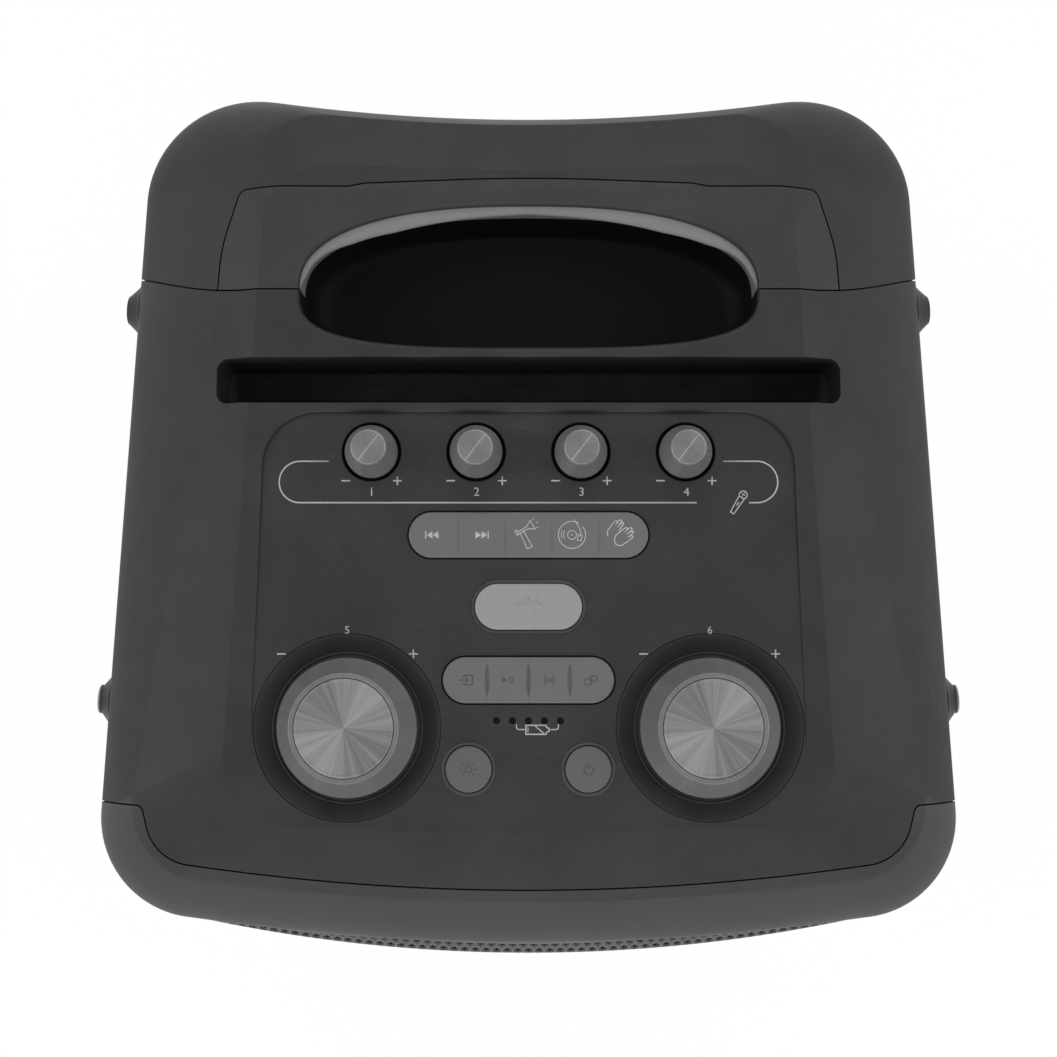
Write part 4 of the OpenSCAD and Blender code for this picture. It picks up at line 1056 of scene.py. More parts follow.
def well_mesh():
    """A pan with a rounded floor that rises a little towards its front and rear walls."""
    rim, outer = (even_outline(hand_outline(grow), 240) for grow in (0.0, 2.0))
    middle = np.array([0.0, 92.0])
    rings = [at_height(outer, WELL_FOOT), at_height(outer, WELL_TOP), at_height(rim, WELL_TOP),
             at_height(rim, WELL_WALL)]
    for angle in np.linspace(15, 90, 6):
        bend = math.radians(angle)
        share = 1 - 0.12 * (1 - math.cos(bend))
        rings.append(at_height(middle + (rim - middle) * share, WELL_WALL - 11.0 * math.sin(bend)))
    rings += [at_height(middle + (rim - middle) * share, DECK - 47.4) for share in (0.7, 0.45, 0.2)]
    return loft("well", rings)


def build_handle():
    add_piece("finger_grip", tidy_normals(crescent_mesh()), "soft_rubber",
              stands_for=("handle_grip",), sharp=50)
    add_piece("finger_well", tidy_normals(well_mesh()), "pit_plastic",
              stands_for=("handle_cup",), sharp=40)


build_handle()


# %% Painted shade: a dark pad in the tablet slot
def build_slot_shade_pad():
    """A strip of black rubber on the slot's floor, with a shallow groove that holds the edge. It is
    a dark sheet that paints the shade on the slot's floor.
    """
    half = [(8.5, 0), (8.5, 1.6), (8.1, 2.0), (3.4, 2.0), (2.6, 1.5)]
    section = half + [(-y, z) for y, z in half[::-1]]
    rings = [[(x, SLOT_Y + y, DECK - SLOT_DEPTH + z) for y, z in section] for x in (-117.0, 117.0)]
    add_piece("slot_shade_pad", tidy_normals(loft("pad", np.array(rings))), "black_rubber",
              sharp=20)


build_slot_shade_pad()

# %% [markdown]
# Knobs are turned shapes. A real one is moulded or lathed, and its skirt swells out at the foot so
# that fingers find it. Their objects sit on their own axes, so the painted reflection fans and the
# rings of the turned finish run around each knob's own middle.

# %% Lathe
def lathe(name, profile, n=128):
    """Turns a profile of radius and height, from the axis or a bore back to it."""
    return tidy_normals(loft(name, [at_height(circle(0, 0, max(r, 0.0005), n), z)
                                    for r, z in profile]))


# %% Small knobs
SMALL_NAMES = ["mic", "bass", "treble", "echo"]
POINTER_HIGHLIGHT_ANGLE = 52


def small_knob_profile():
    return ([(0, -5), (9.7, -5), (10.1, -4.6), (10.1, 0.3), (10.0, 0.6)]
            + [(10.0 - 3.02 * t ** 0.9, 0.6 + 12.6 * t) for t in np.linspace(0.1, 1, 12)]
            + [(6.93, 13.5), (6.8, 13.8), (6.5, 13.95)])


def build_small_knobs():
    for name, x in zip(SMALL_NAMES, SMALL_XS):
        body = name + "_knob_body"
        place = (x, SMALL_Y, DECK)
        add_piece(name + "_skirt", lathe("skirt", small_knob_profile() + [(0, 13.95)]),
                  "small_skirt", body, (name + "_knob",), 40, place)
        top = [(0, 13.5), (6.45, 13.5), (6.45, 13.98), (6.3, 14.0), (5.95, 13.86), (0, 13.8)]
        add_piece(name + "_cap", lathe("cap", top), "cap_metal", body, (), 30,
                  place)
        # Pointer and painted highlight: a bright bar across the whole cap stands in for the cap's
        # highlight line
        line = [[-6.2, -0.2], [6.2, -0.2], [6.2, 0.2], [-6.2, 0.2]]
        pointer_highlight = add_piece(name + "_pointer", plan_prism(np.array(line), 13.7, 14.03),
                            "rim_metal", body, (), 30, place)
        pointer_highlight.rotation_euler = (0, 0, math.radians(POINTER_HIGHLIGHT_ANGLE))
        bpy.context.view_layer.update()


def build_knob_shade_rings():
    """A dark ring on each well's floor: painted shade seen through the gap around the knob."""
    ring = [(4.2, -7.6), (11.3, -7.6), (11.3, -5.9), (10.8, -5.5), (4.6, -5.5), (4.2, -5.8)]
    for name, x in zip(SMALL_NAMES, SMALL_XS):
        add_piece(name + "_seal", lathe("seal", ring + ring[:1], 64), "pit_plastic",
                  "cabinet", (), 40, (x, SMALL_Y, DECK))


build_small_knobs()
build_knob_shade_rings()

# %% Large knobs
def build_large_knobs():
    foot = -3.9
    skirt = ([(0, foot), (26.2, foot), (26.6, foot + 0.4), (26.6, 0.7), (26.45, 1.1)]
             + [(26.45 - 5.6 * t ** 0.85, 1.1 + 12.4 * t) for t in np.linspace(0.06, 1, 18)]
             + [(20.75, 13.9), (20.55, 14.2), (20.25, 14.42), (19.8, 14.5),
                (19.3, 14.5), (19.0, 14.4), (18.9, 14.2), (18.9, 12.5), (0, 12.5)])
    disc = [(0, 12.52), (18.6, 12.52), (18.7, 12.62), (18.7, 14.35), (18.5, 14.6), (18.1, 14.68),
            (17.6, 14.6), (17.4, 14.42), (0, 14.75)]
    for side, name in DIALS:
        place = (side * LARGE_X, LARGE_Y, DECK)
        body = name + "_dial"
        add_piece(name + "_skirt", lathe("skirt", skirt, 192), "large_skirt", body,
                  (name + "_knob",), 40, place)
        add_piece(name + "_disc", lathe("disc", disc, 192), "disc_metal", body,
                  (name + "_cap",), 25, place)
        band = [(20.5, 14.2), (20.75, 14.2), (20.75, 14.34), (20.3, 14.56), (20.1, 14.56),
                (20.1, 14.2)]
        add_piece(name + "_band", lathe("band", band, 192), "large_skirt", body,
                  (), 40, place)


def build_dishes():
    """The dishes: a sharp bright lip, a dark hollow, and a low step around the knob."""
    lip = DISH_R - 0.5
    profile = [(4, -6.1), (32.7, -6.1), (DISH_R, -5.5), (DISH_R, -0.35), (DISH_R - 0.15, -0.2),
               (lip, -0.3)]
    profile += [(lip - 6.1 * t, -0.3 - 3.1 * t ** 1.1) for t in np.linspace(0.08, 1, 12)]
    profile += [(29.0, -3.5), (28.2, -3.6), (27.9, -4.5), (4, -4.5)]
    for side, name in DIALS:
        stands = ("knob_dishes",) if side == 1 else ()
        add_piece(name + "_dish", lathe("dish", profile, 192), "dish_plastic",
                  "cabinet", stands, 35, (side * LARGE_X, LARGE_Y, DECK))


build_large_knobs()
build_dishes()

# %% [markdown]
# The keys of a row look like one long pill with shallow lens-shaped grooves between them. Each key
# is a fine grid that follows the pill's outline; its height comes from a crown, a rounded rim and
# the grooves. A grid is used because a groove crosses from one key to the next.

# %% Keys
KEY_FOOT, KEY_PROUD, BOOST_PROUD = -6.0, 1.2, 1.8
KEY_CROWN, ROUND_CROWN, BOOST_CROWN = 0.25, 0.2, 0.15
LENS_HALF_W, LENS_HALF_L = 1.4, 6.2


def key_mesh(length, width, y, proud, x_low=-REACH, x_high=REACH, grooves=(), rim=0.7,
             crown=KEY_CROWN, columns=64, rows=40, groove_depth=0.5):
    """The part from x_low to x_high of a pill-shaped cap on the field, with its sides closed."""
    r = width / 2
    straight = length / 2 - r
    left, right = max(x_low, -length / 2), min(x_high, length / 2)
    t = (1 - np.cos(np.linspace(0, math.pi, columns))) / 2
    xs = left + (right - left) * t
    v = -np.cos(np.linspace(0, math.pi, rows))
    beyond = np.maximum(np.abs(xs) - straight, 0)
    half = np.sqrt(np.maximum(r * r - beyond ** 2, 0.02))
    grid_x = np.repeat(xs[:, None], rows, 1)
    grid_y = half[:, None] * v[None, :]
    from_edge = r - np.hypot(np.maximum(np.abs(grid_x) - straight, 0), grid_y)
    lip = np.clip(rim - from_edge, 0, rim)
    z = proud - (rim - np.sqrt(np.maximum(rim * rim - lip * lip, 0)))
    z = z - crown * (grid_y / r) ** 2
    for groove_x in grooves:
        swell_here = np.sqrt(np.clip(1 - (grid_y / LENS_HALF_L) ** 2, 0, 1))
        across = np.clip(np.abs(grid_x - groove_x) / (LENS_HALF_W * swell_here + 0.0001), 0, 1)
        z = z - groove_depth * swell_here * (0.5 + 0.5 * np.cos(math.pi * across))
    top = np.column_stack([grid_x.ravel(), grid_y.ravel() + y,
                           (z + field_z(grid_y + y)).ravel()])
    count = columns * rows
    index = np.arange(count).reshape(columns, rows)
    faces = [(index[i, j], index[i + 1, j], index[i + 1, j + 1], index[i, j + 1])
             for i in range(columns - 1) for j in range(rows - 1)]
    loop = np.concatenate([index[:, 0], index[-1, 1:], index[-2::-1, -1], index[0, -2:0:-1]])
    low = top[loop].copy()
    low[:, 2] = DECK + KEY_FOOT
    n = len(loop)
    faces += [(loop[(i + 1) % n], loop[i], count + i, count + (i + 1) % n) for i in range(n)]
    faces.append(tuple(count + i for i in range(n - 1, -1, -1)))
    return tidy_normals(mesh_from("key", np.vstack([top, low]),
                                  [tuple(int(q) for q in f) for f in faces]))


def build_row(names, row, groove_depth):
    n = len(names)
    cuts = [(i - n / 2) * row["pitch"] for i in range(1, n)]
    for i, name in enumerate(names):
        low = cuts[i - 1] + HALF_SPLIT if i > 0 else -REACH
        high = cuts[i] - HALF_SPLIT if i < n - 1 else REACH
        grooves = [c for c in cuts if low - 1 < c < high + 1]
        mesh = key_mesh(row["length"], KEY_W, row["y"], KEY_PROUD, low, high, grooves,
                        groove_depth=groove_depth)
        add_piece(name + "_key_cap", mesh, "key_plastic", name + "_key_body",
                  (name + "_key",), 50)


HALF_SPLIT = 0.02
UPPER_NAMES = ["back", "next", "horn", "scratch", "clap"]
LOWER_NAMES = ["source", "play", "pair", "link"]
build_row(UPPER_NAMES, UPPER_ROW, 0.7)
build_row(LOWER_NAMES, LOWER_ROW, 1.15)


def build_boost_key():
    mesh = key_mesh(BOOST_L, KEY_W, BOOST_Y, BOOST_PROUD, rim=0.6, crown=BOOST_CROWN,
                    columns=120)
    add_piece("boost_key_cap", mesh, "boost_plastic", "boost_key_body",
              ("boost_key",), 50)


def build_round_keys():
    for side, name in ROUND_KEYS:
        x = side * ROUND_X
        mesh = key_mesh(2 * ROUND_R, 2 * ROUND_R, ROUND_Y, KEY_PROUD, crown=ROUND_CROWN,
                        columns=72, rows=56)
        mesh.transform(Matrix.Translation((x * MM, 0, 0)))
        add_piece(name + "_key_cap", mesh, "round_key_plastic",
                  name + "_key_body", (name + "_key",), 50)


def moat(name, outer, inner):
    """A trim ring in the gap between a key and the deck, a little below the field."""
    rings = [at_height(points, field_z(points[:, 1]) + drop) for points, drop in (
        (inner, -5.0), (outer, -5.0), (outer, -0.25), (outer, -0.15), (inner, -0.45))]
    add_piece(name, round_band(name, rings), "moat_plastic", sharp=30)


build_boost_key()
build_round_keys()
moat("boost_trim", pill(0, BOOST_Y, BOOST_L + 2 * MOAT_W - 0.1, KEY_W + 2 * MOAT_W - 0.1),
     pill(0, BOOST_Y, BOOST_L + 0.7, KEY_W + 0.7))
for side, name in ROUND_KEYS:
    moat(name + "_trim", circle(side * ROUND_X, ROUND_Y, ROUND_R + MOAT_W - 0.05),
         circle(side * ROUND_X, ROUND_Y, ROUND_R + 0.35))


# %% [markdown]
# The signs on the deck are pad printed: a very thin layer of ink. Each is drawn here as flat
# strokes in millimetres, laid on the field or on a key's crown, and given a little thickness.
# Words are left out. Plain numbers stand where a control needs telling apart.

# %% Drawing strokes
def stroke(points, width, closed=False):
    p = np.asarray(points, float)
    p = p[np.append(True, np.linalg.norm(np.diff(p, axis=0), axis=1) > 0.001)]
    if closed:
        before, after = np.roll(p, 1, 0), np.roll(p, -1, 0)
    else:
        before = np.vstack([2 * p[0] - p[1], p[:-1]])
        after = np.vstack([p[1:], 2 * p[-1] - p[-2]])
    d1, d2 = p - before, after - p
    d1 /= np.linalg.norm(d1, axis=1)[:, None]
    d2 /= np.linalg.norm(d2, axis=1)[:, None]
    n1, n2 = np.column_stack([-d1[:, 1], d1[:, 0]]), np.column_stack([-d2[:, 1], d2[:, 0]])
    mitre = (n1 + n2) / np.maximum(1 + np.sum(n1 * n2, axis=1), 0.5)[:, None] * width / 2
    points = np.vstack([p + mitre, p - mitre])
    n = len(p)
    last = n if closed else n - 1
    faces = [(i, (i + 1) % n, n + (i + 1) % n, n + i) for i in range(last)]
    return points, [f[::-1] for f in faces]


def patch(points):
    p = np.asarray(points, float)
    return p, [tuple(range(len(p)))]


def arc(x, y, r, start, stop, n=24):
    a = np.radians(np.linspace(start, stop, n))
    return np.column_stack([x + r * np.cos(a), y + r * np.sin(a)])


def moved(shape, x=0.0, y=0.0, turn=0.0, size=1.0):
    points, faces = shape
    a = math.radians(turn)
    spin = np.array([[math.cos(a), math.sin(a)], [-math.sin(a), math.cos(a)]])
    return (np.asarray(points) * size) @ spin + np.array([x, y]), faces


def number(text, height):
    """A numeral of Blender's own plain font, centred."""
    curve = bpy.data.curves.new("number", "FONT")
    curve.body = text
    curve.size = 1.0
    curve.resolution_u = 4
    obj = bpy.data.objects.new("number", curve)
    BENCH.objects.link(obj)
    graph = bpy.context.evaluated_depsgraph_get()
    mesh = bpy.data.meshes.new_from_object(obj.evaluated_get(graph))
    points = np.array([v.co[:2] for v in mesh.vertices])
    faces = [tuple(p.vertices) for p in mesh.polygons]
    bpy.data.objects.remove(obj)
    low, high = points.min(0), points.max(0)
    return (points - (low + high) / 2) * (height / (high[1] - low[1])), faces


LIFT, INK_THICK = 0.03, 0.05


def ink(name, shapes, surface, finish, body="cabinet"):
    points, faces = [], []
    for shape_points, shape_faces in shapes:
        start = sum(len(p) for p in points)
        points.append(np.asarray(shape_points, float))
        faces += [tuple(i + start for i in f) for f in shape_faces]
    flat = np.vstack(points)
    mesh = mesh_from(name, at_height(flat, surface(flat[:, 1]) + LIFT), faces)
    work = bmesh.new()
    work.from_mesh(mesh)
    for face in work.faces:
        if face.normal.z < 0:
            face.normal_flip()
    work.to_mesh(mesh)
    work.free()
    obj = add_piece(name, mesh, finish, body, sharp=60)
    thick = obj.modifiers.new("ink_layer", "SOLIDIFY")
    thick.thickness = INK_THICK * MM
    thick.offset = -1


# %% Deck signs
SIGN_HALF, LINE = 1.7, 0.55


def minus(x, y):
    return stroke([(x - SIGN_HALF, y), (x + SIGN_HALF, y)], LINE)


def plus(x, y):
    bar = LINE / 2
    corners = [(-SIGN_HALF, -bar), (-bar, -bar), (-bar, -SIGN_HALF), (bar, -SIGN_HALF),
               (bar, -bar), (SIGN_HALF, -bar), (SIGN_HALF, bar), (bar, bar), (bar, SIGN_HALF),
               (-bar, SIGN_HALF), (-bar, bar), (-SIGN_HALF, bar)]
    return patch([(x + dx, y + dy) for dx, dy in corners])


def microphone():
    """A hand microphone: a round head, a collar and a tapered grip with its switch."""
    return [stroke(arc(0, 4.0, 1.55, -50, 230, 30), 0.42),
            stroke([(-1.2, 2.75), (1.2, 2.75), (0.75, -4.4), (-0.75, -4.4)], 0.42, True),
            stroke([(0, 0.6), (0, -1.0)], 0.5), stroke([(-0.9, 4.2), (0.9, 4.2)], 0.3),
            stroke([(0, 3.2), (0, 5.2)], 0.3)]


def battery_sign():
    """Brackets from the first and last light down to a cell with a slanted charge mark."""
    return [stroke(list(arc(-3.65, -81.05, 0.9, 180, 270, 6)) + [(-1.3, -81.95)], 0.42),
            stroke([(-4.55, -79.9), (-4.55, -81.05)], 0.42),
            stroke([(8.3, -81.95)] + list(arc(10.5, -81.05, 0.9, 270, 360, 6)), 0.42),
            stroke([(11.4, -81.05), (11.4, -79.9)], 0.42),
            stroke([(-1.0, -80.35), (6.6, -80.35), (6.9, -81.1), (7.9, -81.6), (7.9, -82.5),
                    (6.9, -83.0), (6.6, -83.75), (-1.0, -83.75)], 0.5, True),
            stroke([(-0.2, -81.1), (-0.2, -83.0)], 0.35),
            stroke([(2.6, -80.7), (5.9, -83.4)], 0.45)]


def knob_frame():
    """The fine line that ties the four small knobs together."""
    end, mid, r = 88.0, 12.945, 8.025
    top, low = 20.97, 4.92
    left = [(-77.0, top), (-end, top)] + list(arc(-end, mid, r, 90, 270, 40)) + [(64.7, low)]
    right = [(75.1, top), (end, top)] + list(arc(end, mid, r, 90, -90, 40)) + [(84.8, low)]
    return [stroke(left, LINE), stroke(right, LINE)]


def build_deck_signs():
    signs = knob_frame() + battery_sign()
    small_sign_y, large_sign_y, large_sign_x = 13.42, -53.2, 25.2
    for i, x in enumerate(SMALL_XS):
        signs += [minus(x - 9.75, small_sign_y), plus(x + 10.1, small_sign_y)]
        signs.append(moved(number(str(i + 1), 3.3), x + 0.2, 9.2))
    for side, label in ((-1, "5"), (1, "6")):
        x = side * LARGE_X
        signs += [minus(x - large_sign_x, large_sign_y), plus(x + large_sign_x, large_sign_y)]
        signs.append(moved(number(label, 2.9), side * 69.4, -44.1))
    signs += [moved(shape, 80.6, 4.6, -32, 0.98) for shape in microphone()]
    ink("deck_signs", signs, field_z, "light_print")


build_deck_signs()

# %% [markdown]
# A key's sign is one piece riding on its key, laid on the crown of the cap.

# %% Key signs
def back_sign():
    return [patch([(-2.7, -1.5), (-2.2, -1.5), (-2.2, 1.5), (-2.7, 1.5)]),
            patch([(-2.1, 0), (0.15, -1.5), (0.15, 1.5)]),
            patch([(0.2, 0), (2.5, -1.5), (2.5, 1.5)])]


def horn_sign():
    flare = [(-3.3, 1.1), (-1.4, 2.1), (0.3, 3.4), (1.55, 5.6), (3.5, 2.2), (1.2, 2.35),
             (-1.0, 1.5), (-2.6, 0.3)]
    can = [(-2.3, 0.6), (-0.9, 1.35), (2.3, -4.4), (0.4, -5.4)]
    return [stroke(flare, 0.34, True), stroke(can, 0.34, True),
            stroke([(-4.4, 1.4), (-3.7, 1.8), (-2.7, 0.3), (-3.4, -0.2)], 0.34, True),
            stroke([(2.5, 5.6), (2.9, 6.4)], 0.3), stroke([(3.7, 4.5), (4.6, 5.1)], 0.3),
            stroke([(3.9, 3.0), (4.9, 2.8)], 0.3)]


def disc_sign():
    return [stroke(arc(0, 0, 5.2, 62, 398, 60), 0.34),
            stroke(circle(0, 0, 1.7, 36), 0.32, True),
            patch(circle(0, 0, 0.35, 12)), stroke(arc(0, 0, 3.2, 150, 205, 10), 0.3),
            stroke(arc(0, 0, 4.1, 155, 200, 10), 0.3),
            stroke([(0.7, 6.1), (2.3, 3.6), (3.4, 1.4), (3.3, 0.1)], 0.34),
            stroke([(2.5, 0.1), (3.9, -0.2), (3.4, -2.3), (2.0, -2.0)], 0.32, True)]


def clap_sign():
    """Two hands about to meet, each a palm with four fingers and a thumb."""
    hand = [(-1.9, -1.2), (-1.9, 1.0), (-1.7, 2.9), (-1.2, 3.2), (-0.85, 2.8), (-0.9, 1.2),
            (-0.75, 3.9), (-0.3, 4.25), (0.1, 3.9), (0.05, 1.2), (0.35, 3.6), (0.75, 3.9),
            (1.1, 3.5), (0.95, 1.0), (1.35, 2.6), (1.75, 2.8), (2.05, 2.4), (1.9, 0.2),
            (1.5, -1.9), (0.4, -2.8), (-0.8, -2.6)]
    back = [(x, y) for x, y in hand if x < 1.2 and not (y < -1.5 and x > -0.5)]
    turn_back = [back[-1]] + back[:-1]
    return [moved(stroke(hand, 0.32, True), 1.2, -1.2, -48, 1.25),
            moved(stroke(turn_back[:16], 0.32), -1.8, 1.4, -36, 1.2)]


def source_sign():
    box = [(-0.9, 1.0), (-0.9, 1.75), (2.3, 1.75), (2.3, -1.75), (-0.9, -1.75), (-0.9, -1.0)]
    return [stroke(box, 0.4), stroke([(-2.6, 0), (0.7, 0)], 0.36),
            stroke([(-0.2, 0.9), (0.8, 0), (-0.2, -0.9)], 0.36)]


def play_sign():
    bars = [patch([(x, -1.15), (x + 0.35, -1.15), (x + 0.35, 1.15), (x, 1.15)]) for x in (0.5, 1.5)]
    return [patch([(-2.0, -1.15), (-0.2, 0), (-2.0, 1.15)])] + bars


def pair_sign():
    """Waves that spread from a dot on both sides."""
    shapes = [patch(circle(0, 0, 0.45, 16))]
    for r in (1.15, 2.0):
        shapes += [stroke(arc(0, 0, r, mid - 48, mid + 48, 12), 0.36) for mid in (0, 180)]
    return shapes


def link_sign():
    ring_a = rounded_bar(-1.0, -0.55, 2.9, 2.1, 0.6, 6)
    ring_b = rounded_bar(1.0, 0.55, 2.9, 2.1, 1.0, 6)
    return [stroke(ring_a, 0.36, True), stroke(ring_b, 0.36, True)]


def lamp_sign():
    rays = [moved(stroke([(2.1, 0), (3.1, 0)], 0.36), turn=a) for a in range(0, 360, 45)]
    return [stroke(circle(0, 0, 1.25, 28), 0.38, True)] + rays


def power_sign():
    return [stroke(arc(0, -0.3, 1.75, 125, 415, 30), 0.42), stroke([(0, 0.1), (0, 1.9)], 0.42)]


def level_bars():
    heights = (2.2, 3.8, 5.4, 7.0, 4.6, 6.2, 3.0)
    return [patch([(x - 0.5, -h / 2), (x + 0.5, -h / 2), (x + 0.5, h / 2), (x - 0.5, h / 2)])
            for x, h in zip(np.arange(-4.8, 5, 1.6), heights)]


def key_crown(y, proud, crown):
    return lambda ys: field_z(ys) + proud - crown * ((np.asarray(ys) - y) / (KEY_W / 2)) ** 2


def key_sign(name, shapes, x, y, finish, proud=KEY_PROUD, crown=KEY_CROWN):
    placed = [moved(shape, x, y) for shape in shapes]
    ink(name + "_sign", placed, key_crown(y, proud, crown), finish, name + "_key_body")


def build_key_signs():
    next_sign = [(points * np.array([-1.0, 1.0]), [f[::-1] for f in faces])
                 for points, faces in back_sign()]
    upper = ((back_sign(), -1.0), (next_sign, 0.1), (horn_sign(), -0.9), (disc_sign(), -1.3),
             (clap_sign(), -1.2))
    for i, (name, (shapes, shift)) in enumerate(zip(UPPER_NAMES, upper)):
        x = (i - 2) * UPPER_ROW["pitch"] + shift
        key_sign(name, shapes, x, UPPER_ROW["y"], "key_print")
    lower = (source_sign(), play_sign(), pair_sign(), link_sign())
    for i, (name, shapes) in enumerate(zip(LOWER_NAMES, lower)):
        key_sign(name, shapes, (i - 1.5) * LOWER_ROW["pitch"], LOWER_ROW["y"], "dark_print")
    for (side, name), shapes in zip(ROUND_KEYS, (lamp_sign(), power_sign())):
        key_sign(name, shapes, side * ROUND_X, ROUND_Y, "dark_print", crown=ROUND_CROWN)
    key_sign("boost", level_bars(), 0.0, BOOST_Y, "faint_print", BOOST_PROUD, BOOST_CROWN)


build_key_signs()

# %% [markdown]
# Behind each little hole of the battery gauge sits the end of a light guide. Unlit, it is a dark
# lens, slightly domed and a touch below the field.

# %% Battery lights
def build_battery_lenses():
    profile = [(0, -6), (1.2, -6), (1.2, -0.55), (1.1, -0.3), (0.8, -0.15), (0.4, -0.08),
               (0, -0.06)]
    for i, x in enumerate(LIGHT_XS):
        stands = ("battery_lights",) if i == 0 else ()
        add_piece("battery_lens_%d" % (i + 1), lathe("lens", profile, 32), "lamp_lens",
                  "cabinet", stands, 40, (x, LIGHT_Y, float(field_z(LIGHT_Y))))


build_battery_lenses()

# %% [markdown]
# The grille is a thin steel sheet punched with small hexagonal holes and rolled to a gentle bow.
# Cutting thousands of holes with booleans would take minutes, so each cell is drawn instead: a
# hexagon with a smaller hexagonal hole, as a front, a wall and a back. A pressed rim hides the
# ragged edge of the pattern.

# %% Grille
GRILLE_BOW_R, GRILLE_PROUD, GRILLE_T = 644.0, 6.8, 1.0
ROLL_REACH, SIDE_ROLL = 8.0, 8.0
CELL, STRAND = 4.3, 0.85
SHEET_W, SHEET_H = GRILLE_W - 1.2, GRILLE_H - 1.2


def sheet_y(x, z):
    """The sheet's bow, which rolls back to the bezel along its edges; z is from its middle."""
    x, z = np.asarray(x, float), np.asarray(z, float)
    bow = GRILLE_BOW_R - np.sqrt(GRILLE_BOW_R ** 2 - x ** 2)
    from_ends = np.clip((GRILLE_H / 2 - np.abs(z)) / ROLL_REACH, 0, 1)
    from_sides = np.clip((GRILLE_W / 2 - np.abs(x)) / SIDE_ROLL, 0, 1)
    proud = GRILLE_PROUD * np.sin(from_ends * math.pi / 2) * (0.9 + 0.1 * from_sides)
    return FRONT_MID_Y - proud + bow


def inside_bar(x, z, width, height, r):
    dx = np.maximum(np.abs(x) - (width / 2 - r), 0)
    dz = np.maximum(np.abs(z) - (height / 2 - r), 0)
    return np.hypot(dx, dz) < r


def perforated_sheet():
    width, height = SHEET_W, SHEET_H
    row = CELL * math.sqrt(3) / 2
    corner = np.radians(np.arange(30, 390, 60))
    outer_r, hole_r = CELL / math.sqrt(3), (CELL - STRAND) / math.sqrt(3)
    cell = wrap_faces(6, 4)
    points, faces = [], []
    for j in range(-int(height / 2 / row) - 1, int(height / 2 / row) + 2):
        for i in range(-int(width / 2 / CELL) - 1, int(width / 2 / CELL) + 2):
            x, z = (i + 0.5 * (j % 2)) * CELL, j * row
            if not inside_bar(x, z, width - 1.5, height - 1.5, 23.0):
                continue
            rims = []
            for r, deep in ((outer_r, 0), (hole_r, 0), (hole_r, GRILLE_T), (outer_r, GRILLE_T)):
                px, pz = x + r * np.cos(corner), z + r * np.sin(corner)
                rims.append(np.column_stack([px, sheet_y(px, pz) + deep, pz + GRILLE_MID_Z]))
            start = 24 * (len(points) // 4)
            points += rims
            faces += [tuple(start + corner for corner in face) for face in cell]
    return tidy_normals(mesh_from("perforated", np.vstack(points), faces), 0.00002, False)


def bowed_band(points_out, points_in, front, back):
    """A frame between two outlines of X and Z, bowed with the sheet."""
    rings = []
    for points, lift in ((points_out, back), (points_out, front * 0.4), (points_out * 0.998, front),
                         (points_in, front), (points_in, back)):
        rings.append(at_depth(points + [0, GRILLE_MID_Z],
                              sheet_y(points[:, 0], points[:, 1]) + lift))
    return round_band("band", rings)


def dense_bar(width, height, r):
    return even_outline(rounded_bar(0, 0, width, height, r), 480)


def build_grille():
    sheet = perforated_sheet()
    print("grille faces:", len(sheet.polygons))
    add_piece("grille_sheet", sheet, "grille_paint", stands_for=("grille",),
              sharp=40)
    band = bowed_band(dense_bar(SHEET_W, SHEET_H, 24),
                      dense_bar(SHEET_W - 2.4, SHEET_H - 2.4, 22.8), -0.1, 1.1)
    add_piece("grille_rim", band, "grille_paint", sharp=35)


build_grille()

# %% [markdown]
# A strap hooks over a stud on each side, front and rear. A stud is one turned piece with a hollow
# flank that keeps the strap from slipping off, and a threaded shank with a nut inside the wall.
# The front pair has a pale domed cap. The feet are turned too, with a recess for their screw.

# %% Strap studs and feet
SIDE_TILT = math.atan2((FRONT_W - REAR_W) / 2, BODY_D)
STUD_DROP, STUD_L = 50.0, 6.5
FOOT_PLACES = [(-112, -87), (112, -87), (112, 76), (-112, 76)]


def stud_profile(length):
    flank = [(11.5 - 5.7 * t ** 0.85, 0.6 + (length - 1.0) * t) for t in np.linspace(0, 1, 16)]
    return ([(0, -10), (2.6, -10), (3, -9.6), (3, -0.1), (11.3, -0.1), (11.5, 0.2)] + flank
            + [(5.7, length - 0.15), (5.4, length), (1.6, length), (1.4, length - 0.3),
               (0, length - 0.3)])


def turn_out(obj, side):
    """Lays a piece turned around Z along the cabinet's side, pointing out of it."""
    obj.rotation_euler = (0, math.pi / 2, SIDE_TILT if side > 0 else math.pi - SIDE_TILT)
    bpy.context.view_layer.update()


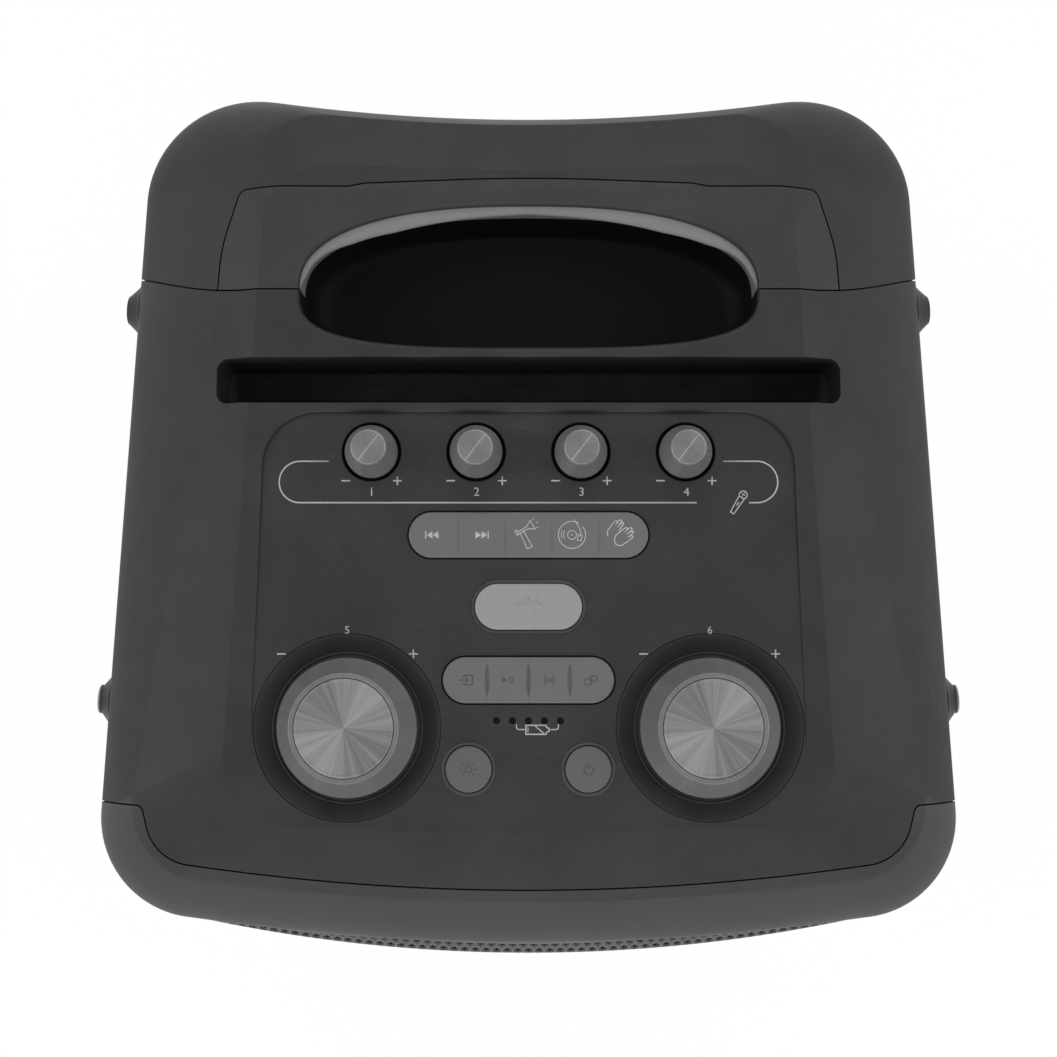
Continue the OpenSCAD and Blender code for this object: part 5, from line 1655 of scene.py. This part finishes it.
def build_studs():
    cap = [(0, 5.3), (5.6, 5.3), (5.8, 5.5), (5.8, 5.95), (5.5, 6.25), (4.6, 6.42), (3, 6.5),
           (0, 6.5)]
    nut = [(3.05, -8), (5.7, -8), (6, -7.7), (6, -4.3), (5.7, -4), (3.05, -4)]
    for end, y, length in (("front", -71.0, STUD_L - 1.2), ("rear", 88.6, STUD_L)):
        for side, hand in ((-1, "left"), (1, "right")):
            name = end + "_" + hand + "_stud"
            x = side * (FRONT_W / 2 - (y - FRONT_Y) * math.tan(SIDE_TILT))
            place = (x, y, DECK - STUD_DROP)
            first = end == "rear" and side < 0
            turn_out(add_piece(name, lathe("stud", stud_profile(length), 96), "stud_plastic",
                               "cabinet", ("strap_studs",) if first else (), 40,
                               place), side)
            turn_out(add_piece(name + "_nut", lathe("nut", nut, 6), "steel",
                               "cabinet", (), 30, place), side)
            if end == "front":
                turn_out(add_piece(name + "_cap", lathe("cap", cap, 96), "stud_cap_plastic",
                                   "cabinet", ("stud_caps",) if side < 0 else (),
                                   40, place), side)


def build_feet():
    profile = [(0, 2.2), (2.4, 2.2), (2.6, 2.0), (5.0, 2.0), (5.2, 1.8), (5.2, 0.5), (5.6, 0.1),
               (12.2, 0.1), (12.6, 0.5), (13.2, 0.5), (13.6, 0.05), (15.4, 0.0), (16, 0.5),
               (17.6, 7.0), (18, 7.6), (18, 8.0), (0, 8.0)]
    for i, (x, y) in enumerate(FOOT_PLACES):
        add_piece("foot_%d" % (i + 1), lathe("foot", profile, 96), "black_rubber",
                  "cabinet", ("feet",) if i == 0 else (), 35, (x, y, 0))


build_studs()
build_feet()

# %% [markdown]
# What sits behind the grille, under the deck and on the back keeps its solid shape from the frame.
# Each such piece only gets the finish of its real material.

# %% Finishes of the pieces that keep their solid
SOLID_FINISH = {
    "baffle_board": "board_wood", "upper_basket": "grille_paint", "lower_basket": "grille_paint",
    "upper_magnet": "steel", "lower_magnet": "steel", "surrounds": "black_rubber",
    "light_rings": "light_guide", "horn": "dark_plastic", "horn_driver": "dark_plastic",
    "port_tube": "dark_plastic", "jack_panel": "dark_plastic", "input_jacks": "socket_plastic",
    "mains_inlet": "socket_plastic", "amplifier_board": "circuit_board",
    "power_supply": "circuit_board", "battery_pack": "cell_wrap", "control_board": "circuit_board",
    "potentiometers": "steel", "encoders": "steel", "tact_switches": "dark_plastic",
    "panel_screws": "steel", "upper_cone": "cone_paper", "lower_cone": "cone_paper",
}


def finish_solids():
    for node, finish in SOLID_FINISH.items():
        for holder in frame["nodes"][node].material_slots:
            holder.material = FINISH[finish]
    bare = [name for name, obj in frame["nodes"].items()
            if not obj.hide_render and name not in SOLID_FINISH]
    print("solids finished:", len(SOLID_FINISH), "without a finish:", bare)


finish_solids()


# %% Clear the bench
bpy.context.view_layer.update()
for leftover in list(BENCH.objects):
    bpy.data.objects.remove(leftover)
bpy.data.collections.remove(BENCH)
